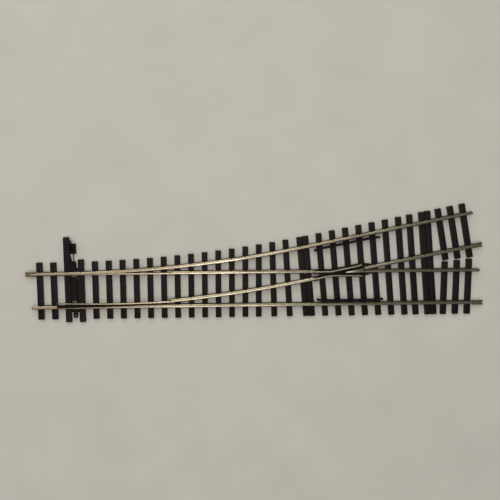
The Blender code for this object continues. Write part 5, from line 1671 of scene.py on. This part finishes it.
@dataclass(frozen=True)
class Joiners:
    """The folded clips that hold rail ends in line, and the two insulating ones."""

    plan: TrackPlan
    length: float = 10.4 * MM
    heel_length: float = 6.4 * MM
    insulation_length: float = 5.4 * MM
    heel_joint: float = 136.9 * MM
    insulation: float = 282.4 * MM
    wall: float = 0.35 * MM
    foot_gap: float = 0.3 * MM
    lip: float = 1.35 * MM
    height: float = 1.6 * MM
    fin_half: float = 0.25 * MM

    def section(self) -> Section:
        """A folded strip that wraps the rail's foot, rounded outside each fold."""
        low, inner = self.plan.sleeper_top - self.wall, self.plan.half_foot + self.foot_gap
        lip_low = low + self.height
        outer = inner + self.wall
        return Section.mirrored(
            [
                (outer, low, 0.3 * MM, 3),
                (outer, lip_low + self.wall, 0.3 * MM, 3),
                (self.lip, lip_low + self.wall, 0.08 * MM, 1),
                (self.lip, lip_low, 0.08 * MM, 1),
                (inner, lip_low, 0.1 * MM, 2),
                (inner, self.plan.sleeper_top, 0.1 * MM, 2),
            ]
        )

    def build(self) -> None:
        """Builds the joiners at the rail ends, at the heels and at the insulating cuts."""
        plan, offset = self.plan, self.plan.rail_offset
        half = self.length / 2
        end = plan.through_length
        spots = {
            "toe": plan.through_path(-half, half, offset),
            "through": plan.through_path(end - half, end + half, -offset),
            "branch": [
                plan.branch_point(plan.branch_length + side * half, -offset) for side in BOTH_SIDES
            ],
        }
        metal = (plan, Body.TRACK, Slot.JOINER, JOINER_METAL)
        insulator = (plan, Body.TRACK, Slot.INSULATOR)
        for word, path in spots.items():
            self.clip(path).publish(f"{word}_end_joiner", *metal, f"rail_joiner_{word}")
        for word, path in self.pairs(self.heel_joint, self.heel_length / 2).items():
            self.clip(path).publish(f"{word}_heel_clip", *metal, f"heel_joiner_{word}")
        for word, path in self.pairs(self.insulation, self.insulation_length / 2).items():
            clip, node = self.section().along(path), f"insulated_joiner_{word}"
            clip.publish(f"{word}_insulating_clip", *insulator, INSULATOR_BROWN, node)
            self.fin(path).publish(f"{word}_insulating_fin", *insulator, INSULATOR_PALE)

    def pairs(self, x: float, half: float) -> dict[str, list[Vector]]:
        """The short paths at one joint of both inner rails."""
        plan, offset = self.plan, self.plan.rail_offset
        distance = plan.branch_distance(x, -offset)
        return {
            "straight": plan.through_path(x - half, x + half, offset),
            "curved": [plan.branch_point(distance + side * half, -offset) for side in BOTH_SIDES],
        }

    def clip(self, path: Sequence[Vector]) -> Shape:
        """A metal joiner with a pressed dimple band at its middle."""
        start, end = path[0], path[-1]
        marks = (0.0, 0.42, 0.47, 0.53, 0.58, 1.0)
        shape = self.section().along([start.lerp(end, mark) for mark in marks], end_bevel=0.05 * MM)
        middle, ahead = (start + end) / 2, (end - start).normalized()
        band = 0.04 * (end - start).length
        low = self.plan.sleeper_top
        for vert in shape.bm.verts:
            away = vert.co - middle
            if abs(away.dot(ahead)) < band and vert.co.z > low + 0.5 * MM:
                side = Vector((-ahead.y, ahead.x, 0))
                across = away.dot(side)
                vert.co -= side * math.copysign(0.12 * MM, across)
        return shape

    def fin(self, path: Sequence[Vector]) -> Shape:
        """The upright web that keeps the two rail ends apart."""
        plan = self.plan
        middle, ahead = (path[0] + path[-1]) / 2, (path[-1] - path[0]).normalized()
        half = plan.half_head
        shape = block(
            (-self.fin_half, -half, plan.sleeper_top - self.wall / 2),
            (self.fin_half, half, plan.head_z - 0.1 * MM),
            0.08 * MM,
        )
        turn = Matrix.Rotation(math.atan2(ahead.y, ahead.x), 4, "Z")
        return shape.moved(Matrix.Translation(middle) @ turn)


# ------------------------------------------------------------------ throw gear


@dataclass(frozen=True)
class ThrowGear:
    """The tie bar between the headblocks, its stud, and the rod up to the hand lever."""

    plan: TrackPlan
    x: float = 42.175 * MM
    half_width: float = 2.2 * MM
    low: float = 2.2 * MM
    high: float = 3.7 * MM
    tail_y: float = -25.7 * MM
    drive_y: float = 27.3 * MM
    lug_pin_y: float = 15.3 * MM
    lug_hole: float = 1.05 * MM
    throw: float = 3.4 * MM
    rod_x: float = 42.2 * MM
    rod_radius: float = 0.45 * MM
    rod_eye_z: float = 4.4 * MM
    rod_high_z: float = 5.85 * MM
    fork_slot: float = 0.65 * MM
    fork_prong: float = 0.6 * MM
    fork_low: float = 5.3 * MM
    fork_slot_top: float = 7.15 * MM
    fork_top: float = 7.75 * MM

    def build(self, crank_y: float) -> None:
        """Builds the bar, its stud and the rod.

        Args:
            crank_y: where the lever's crank pin stands at rest.
        """
        plan = self.plan
        black = (plan, Body.TIE_BAR, Slot.MOULDING, BLACK_MOULDING)
        self.bar().publish("throw_bar", *black, "tie_bar")
        stud = lathe(
            [
                (0, 2.3 * MM),
                (0.7 * MM, 2.3 * MM),
                (0.7 * MM, 5.1 * MM),
                (1.4 * MM, 5.1 * MM),
                (1.5 * MM, 5.2 * MM),
                (1.5 * MM, 5.45 * MM),
                (1.3 * MM, 5.6 * MM),
                (0.6 * MM, 5.6 * MM),
                (0.5 * MM, 5.45 * MM),
                (0, 5.4 * MM),
            ]
        )
        stud.moved(Matrix.Translation((self.x, self.drive_y, 0)))
        stud.publish("throw_stud", *black, "drive_stud")
        self.rod(crank_y).publish(
            "throw_rod", plan, Body.TIE_BAR, Slot.BLACKENED, BLACKENED_STEEL, "connecting_rod"
        )

    def bar(self) -> Shape:
        """The moulded bar, round at both ends, with its holes and raised rims."""
        plan, gauge_half = self.plan, self.plan.rail_offset - self.plan.half_head
        bow = plan.branch_y(self.x, -gauge_half) + gauge_half
        holes = [
            Hole(0, self.tail_y, 0.9 * MM),
            Hole(0, self.drive_y, 0.85 * MM),
            Hole(0, self.lug_pin_y, self.lug_hole),
            Hole(0, -self.lug_pin_y + bow + self.throw, self.lug_hole),
        ]
        half = self.half_width
        outline = rectangle(-half, self.tail_y - half, half, self.drive_y + half)
        shape = slab(outline, self.low, self.high, holes, corner=half * 0.99, bevel=0.12 * MM)
        rib = 0.25 * MM
        for side in BOTH_SIDES:
            edge = sorted((side * (half - 0.3 * MM), side * (half - 0.7 * MM)))
            low = (edge[0], -9 * MM, self.high - 0.1 * MM)
            shape.join(block(low, (edge[1], 9 * MM, self.high + rib), 0.08 * MM))
        rim = lathe(
            [
                (1.25 * MM, self.high - 0.2 * MM),
                (1.75 * MM, self.high - 0.2 * MM),
                (1.75 * MM, self.high + rib),
                (1.25 * MM, self.high + rib),
                (1.25 * MM, self.high - 0.2 * MM),
            ]
        )
        shape.join(rim, Matrix.Translation((0, self.tail_y, 0)))
        return shape.moved(Matrix.Translation((self.x, 0, 0)))

    def rod(self, crank_y: float) -> Shape:
        """An eye on the stud, a cranked wire, and the open fork that the crank pin works in."""
        eye_half = 1.9 * MM
        square = rectangle(-eye_half, -eye_half, eye_half, eye_half)
        eye = slab(
            square,
            self.rod_eye_z - 0.4 * MM,
            self.rod_eye_z + 0.4 * MM,
            [Hole(0, 0, 0.95 * MM)],
            corner=eye_half * 0.99,
            bevel=0.12 * MM,
        )
        shape = Shape().join(eye, Matrix.Translation((self.x, self.drive_y, 0)))
        path = [
            Vector((self.rod_x, self.drive_y + 1.4 * MM, self.rod_eye_z)),
            Vector((self.rod_x, 33.4 * MM, self.rod_eye_z)),
            Vector((self.rod_x, 34.4 * MM, 4.6 * MM)),
            Vector((self.rod_x, 35.4 * MM, 4.95 * MM)),
            Vector((self.rod_x, 37 * MM, 5.6 * MM)),
            Vector((self.rod_x, 38.4 * MM, self.rod_high_z)),
            Vector((self.rod_x, crank_y - self.fork_slot - self.fork_prong / 2, self.rod_high_z)),
        ]
        r = self.rod_radius
        wire = Section(((r, -r), (r, r), (-r, r), (-r, -r)), ((r * 0.99, 4),) * 4)
        shape.join(wire.along(path, end_bevel=0))
        outer, inner = self.fork_slot + self.fork_prong, self.fork_slot
        outline = [
            (-outer, self.fork_low),
            (-inner, self.fork_low),
            (-inner, self.fork_slot_top),
            (inner, self.fork_slot_top),
            (inner, self.fork_low),
            (outer, self.fork_low),
            (outer, self.fork_top),
            (-outer, self.fork_top),
        ]
        fork = slab(outline, -0.4 * MM, 0.4 * MM, corner=0.18 * MM, bevel=0.08 * MM)
        return shape.join(fork, Matrix.Translation((self.rod_x, crank_y, 0)) @ SIDEWAYS)


@dataclass(frozen=True)
class HandLever:
    """The weighted lever on its axle, in a bracket screwed beside the long headblock."""

    plan: TrackPlan
    axle_y: float = 41.6 * MM
    axle_z: float = 4.4 * MM
    axle_radius: float = 0.5 * MM
    axle_x: tuple[float, float] = (38.4 * MM, 44.4 * MM)
    rest: float = math.radians(40)
    swing: float = math.radians(100)
    throw: float = 3.4 * MM
    arm_x: tuple[float, float] = (40.3 * MM, 41.1 * MM)
    reach: float = 9 * MM
    half_width: float = 0.75 * MM
    hub_radius: float = 1.2 * MM
    crank_pin_end: float = 43 * MM
    weight_reach: float = 6 * MM
    weight_radius: float = 1.2 * MM
    weight_x: tuple[float, float] = (41.4 * MM, 44.8 * MM)
    plate_low: float = 2.1 * MM
    plate_high: float = 2.9 * MM
    cheek_top: float = 6 * MM
    plate_x: tuple[float, float] = (38.6 * MM, 44.4 * MM)
    plate_y: tuple[float, float] = (36.8 * MM, 46 * MM)
    cheek_y: tuple[float, float] = (39.6 * MM, 43.6 * MM)
    cheek_x: tuple[tuple[float, float], tuple[float, float]] = (
        (38.8 * MM, 39.5 * MM),
        (43.2 * MM, 43.9 * MM),
    )
    screw_x: float = 40.6 * MM
    screw_y: tuple[float, float] = (37.9 * MM, 44.9 * MM)

    @property
    def crank_radius(self) -> float:
        """How far the crank pin stands from the axle."""
        return self.throw / (2 * math.sin(self.swing / 2))

    def line_point(self, reach: float) -> Vector:
        """A point on the lever's centre line at rest."""
        return Vector(
            (0, self.axle_y + reach * math.cos(self.rest), self.axle_z + reach * math.sin(self.rest))
        )

    def build(self) -> None:
        """Builds the lever, its weight and axle, the bracket and its screws."""
        plan, steel = self.plan, (Slot.BLACKENED, BLACKENED_STEEL)
        self.arm().publish("hand_lever", plan, Body.LEVER, *steel, "lever_arm")
        self.weight().publish("lever_bob", plan, Body.LEVER, *steel, "lever_weight")
        axle = pin(self.axle_radius, self.axle_x[0], self.axle_x[1], 0.12 * MM)
        axle.moved(Matrix.Translation((0, self.axle_y, self.axle_z)) @ SIDEWAYS)
        axle.publish("lever_pivot", plan, Body.LEVER, *steel, "lever_axle")
        self.bracket().publish("lever_bracket", plan, Body.TRACK, *steel, "lever_stand")
        screws = Shape()
        for y in self.screw_y:
            screws.join(self.screw(), Matrix.Translation((self.screw_x, y, 0)))
        screws.publish(
            "bracket_screws", plan, Body.TRACK, *steel, "stand_screw_1", "stand_screw_2"
        )

    def arm(self) -> Shape:
        """The tapered arm with its hub, crank pin and the peg that carries the weight."""
        hub, half = self.hub_radius, self.half_width
        low = [(-hub, -hub), (0.6 * hub, -hub), (1.7 * hub, -half), (self.reach, -half)]
        outline = low + [(x, -y) for x, y in reversed(low)]
        sizes = (0.55 * hub, 0.3 * hub, 0.5 * hub, 0.12 * half)
        bore = Hole(0, 0, self.axle_radius + 0.12 * MM)
        flat = slab(outline, self.arm_x[0], self.arm_x[1], [bore], [*sizes, *reversed(sizes)])
        lean = Matrix.Rotation(self.rest, 4, "X")
        shape = flat.moved(Matrix.Translation((0, self.axle_y, self.axle_z)) @ lean @ SIDEWAYS)
        middle = sum(self.arm_x) / 2
        for reach, radius, end in (
            (self.crank_radius, 0.4 * MM, self.crank_pin_end),
            (self.weight_reach, 0.5 * MM, self.weight_x[1] - 0.6 * MM),
        ):
            peg = pin(radius, middle, end, 0.08 * MM)
            shape.join(peg, Matrix.Translation(self.line_point(reach)) @ SIDEWAYS)
        return shape

    def weight(self) -> Shape:
        """The turned weight, with two grooves and rounded rims, closed over the peg's end."""
        low, high, r = *self.weight_x, self.weight_radius
        bore, groove = 0.62 * MM, 0.12 * MM
        profile = [
            (bore, low + 0.1 * MM),
            (bore + 0.1 * MM, low),
            (r - 0.22 * MM, low),
            (r - 0.06 * MM, low + 0.07 * MM),
            (r, low + 0.22 * MM),
            (r, low + 0.9 * MM),
            (r - groove, low + 1.0 * MM),
            (r - groove, low + 1.15 * MM),
            (r, low + 1.25 * MM),
            (r, high - 1.25 * MM),
            (r - groove, high - 1.15 * MM),
            (r - groove, high - 1.0 * MM),
            (r, high - 0.9 * MM),
            (r, high - 0.25 * MM),
            (r - 0.08 * MM, high - 0.08 * MM),
            (r - 0.28 * MM, high),
            (0, high),
        ]
        inside = [(0, high - 0.4 * MM), (bore, high - 0.4 * MM)]
        shape = lathe([*inside, *profile], 32)
        return shape.moved(Matrix.Translation(self.line_point(self.weight_reach)) @ SIDEWAYS)

    def bracket(self) -> Shape:
        """The base plate with its screw holes and the two round-topped cheeks."""
        (x0, x1), (y0, y1) = self.plate_x, self.plate_y
        holes = [Hole(self.screw_x, y, 0.62 * MM) for y in self.screw_y]
        corners = rectangle(x0, y0, x1, y1)
        shape = slab(corners, self.plate_low, self.plate_high, holes, corner=0.5 * MM)
        low, high = self.cheek_y[0] - self.axle_y, self.cheek_y[1] - self.axle_y
        bearing = Hole(0, 0, self.axle_radius + 0.12 * MM)
        bottom, top = self.plate_low + 0.2 * MM - self.axle_z, self.cheek_top - self.axle_z
        outline = [(low, bottom), (high, bottom), (high * 0.8, top), (low * 0.8, top)]
        for start, end in self.cheek_x:
            cheek = slab(outline, start, end, [bearing], corner=0.7 * MM, bevel=0.1 * MM)
            shape.join(cheek, Matrix.Translation((0, self.axle_y, self.axle_z)) @ SIDEWAYS)
        return shape

    def screw(self) -> Shape:
        """A round-headed screw with a slot across it, made as a shank and two half heads."""
        low = self.plate_high + 0.15 * MM
        shape = pin(0.5 * MM, 0.6 * MM, low + 0.2 * MM)
        for side in BOTH_SIDES:
            half = lathe(
                [
                    (0, low),
                    (0.8 * MM, low),
                    (0.85 * MM, low + 0.12 * MM),
                    (0.72 * MM, low + 0.34 * MM),
                    (0.42 * MM, low + 0.47 * MM),
                    (0, low + 0.5 * MM),
                ]
            )
            bmesh.ops.bisect_plane(
                half.bm,
                geom=[*half.bm.verts, *half.bm.edges, *half.bm.faces],
                plane_co=(0, side * 0.13 * MM, 0),
                plane_no=(0, -side, 0),
                clear_outer=True,
            )
            bmesh.ops.holes_fill(half.bm, edges=half.bm.edges, sides=0)
            shape.join(half.keep_grain())
        return shape


# ------------------------------------------------------------------ dressing and studio


def dress_small_metal() -> None:
    """Gives the CAD nodes that are shown as they are their cut-steel finish."""
    for name in ("blade_lug_straight", "blade_lug_curved", "heel_pin_straight", "heel_pin_curved"):
        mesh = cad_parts[name].data
        mesh.materials.clear()
        mesh.materials.append(CUT_STEEL.material())
        log.info("%s: carried over in %s", name, CUT_STEEL.name)


@dataclass(frozen=True)
class PaleFloor(Finish):
    """Matt laminate board, which gives the eye a plain pale ground with the faintest mottle."""

    name: str = "pale_matt_board"
    pale: str = "#dfddd7"
    deep: str = "#d9d7d1"
    mottle: float = 60 * MM

    def paint(self, tree: NodeTree, shader: Node) -> None:
        """Two near tones in slow clouds."""
        clouds = self.noise(tree, self.in_place(tree, self.mottle), 2.0)
        share = self.spread(tree, clouds, 0.0, 1.0)
        colour = self.blended(tree, share, linear_rgba(self.pale), linear_rgba(self.deep))
        tree.links.new(colour, shader.inputs["Base Color"])
        shader.inputs["Roughness"].default_value = 0.85
        shader.inputs["Specular IOR Level"].default_value = 0.2


@dataclass(frozen=True)
class Softbox:
    """One soft light: where it stands, what it points at, its size, power and colour."""

    name: str
    place: tuple[float, float, float]
    target: tuple[float, float, float]
    size: tuple[float, float]
    watts: float
    colour: str

    def build(self) -> None:
        """Adds the light."""
        data = bpy.data.lights.new(self.name, "AREA")
        data.shape = "RECTANGLE"
        data.size, data.size_y = self.size
        data.energy = self.watts
        data.color = linear_rgba(self.colour)[:3]
        light = bpy.data.objects.new(self.name, data)
        light.location = self.place
        aim = Vector(self.target) - Vector(self.place)
        light.rotation_mode = "QUATERNION"
        light.rotation_quaternion = aim.to_track_quat("-Z", "Y")
        bpy.context.scene.collection.objects.link(light)


@dataclass(frozen=True)
class Studio:
    """The floor, the lights and the camera."""

    floor_half: float = 4.0
    floor_drop: float = 0.02 * MM
    camera_place: tuple[float, float, float] = (-0.04414, 0.10225, 0.65752)
    camera_view: tuple[float, float, float] = (0.05351, -0.1353, -0.98936)
    camera_up: tuple[float, float, float] = (0.00854, 0.9908, -0.13503)
    lens: float = 47.7
    sensor_width: float = 36.0
    nearest: float = 0.01
    lights: tuple[Softbox, ...] = (
        Softbox("left_key", (-1.4, 0.4, 1.3), (0.0, 0.0, 0.0), (0.9, 1.2), 3.5, "#fffaf0"),
        Softbox("right_key", (1.55, 0.4, 1.3), (0.0, 0.0, 0.0), (0.9, 1.2), 4.0, "#fffaf0"),
        Softbox("back_fill", (-0.3, 1.35, 1.5), (-0.1, 0.0, 0.0), (1.2, 1.3), 10.5, "#fffaf2"),
        Softbox("warm_left", (-0.5, -0.1, 1.6), (-0.5, -0.1, 0.0), (0.8, 1.6), 1.7, "#ffdca8"),
        Softbox("strip", (-0.05, -0.1, 1.6), (-0.05, -0.1, 0.0), (0.17, 1.8), 8.2, "#fffdf8"),
    )
    ambient: str = "#d9dde2"
    ambient_strength: float = 0.15

    def build(self) -> None:
        """Sets the whole studio up."""
        shape = Shape()
        low = Matrix.Translation((0, 0, -self.floor_drop))
        bmesh.ops.create_grid(shape.bm, x_segments=1, y_segments=1, size=self.floor_half, matrix=low)
        mesh = bpy.data.meshes.new("floor")
        shape.bm.to_mesh(mesh)
        shape.bm.free()
        mesh.materials.append(PaleFloor().material())
        floor = bpy.data.objects.new("floor", mesh)
        bpy.context.scene.collection.objects.link(floor)
        for light in self.lights:
            light.build()
        world = bpy.data.worlds.new("soft_room")
        world.use_nodes = True
        background = world.node_tree.nodes["Background"]
        background.inputs["Color"].default_value = linear_rgba(self.ambient)
        background.inputs["Strength"].default_value = self.ambient_strength
        bpy.context.scene.world = world
        bpy.context.scene.view_settings.view_transform = "Standard"
        self.build_camera()

    def build_camera(self) -> None:
        """Adds the camera and makes it the scene's own."""
        data = bpy.data.cameras.new("camera")
        data.lens = self.lens
        data.sensor_width = self.sensor_width
        data.clip_start = self.nearest
        camera = bpy.data.objects.new("camera", data)
        view, up = Vector(self.camera_view).normalized(), Vector(self.camera_up).normalized()
        right = view.cross(up).normalized()
        turn = Matrix((right, right.cross(view), -view)).transposed()
        camera.matrix_world = Matrix.Translation(self.camera_place) @ turn.to_4x4()
        bpy.context.scene.collection.objects.link(camera)
        bpy.context.scene.camera = camera


def main() -> None:
    """Builds every sub-assembly in order, then the studio."""
    logging.basicConfig(level=logging.INFO, format="%(message)s")
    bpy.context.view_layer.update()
    plan = TrackPlan.from_frame()
    sections = RailSections(plan)
    bed = SleeperBed(plan)
    bed.build()
    Switch(plan, sections).build()
    Crossing(plan, sections).build()
    CheckRails(plan, bed).build()
    Joiners(plan).build()
    lever = HandLever(plan)
    ThrowGear(plan).build(lever.line_point(lever.crank_radius).y)
    lever.build()
    dress_small_metal()
    Studio().build()


if __name__ == "__main__":
    main()
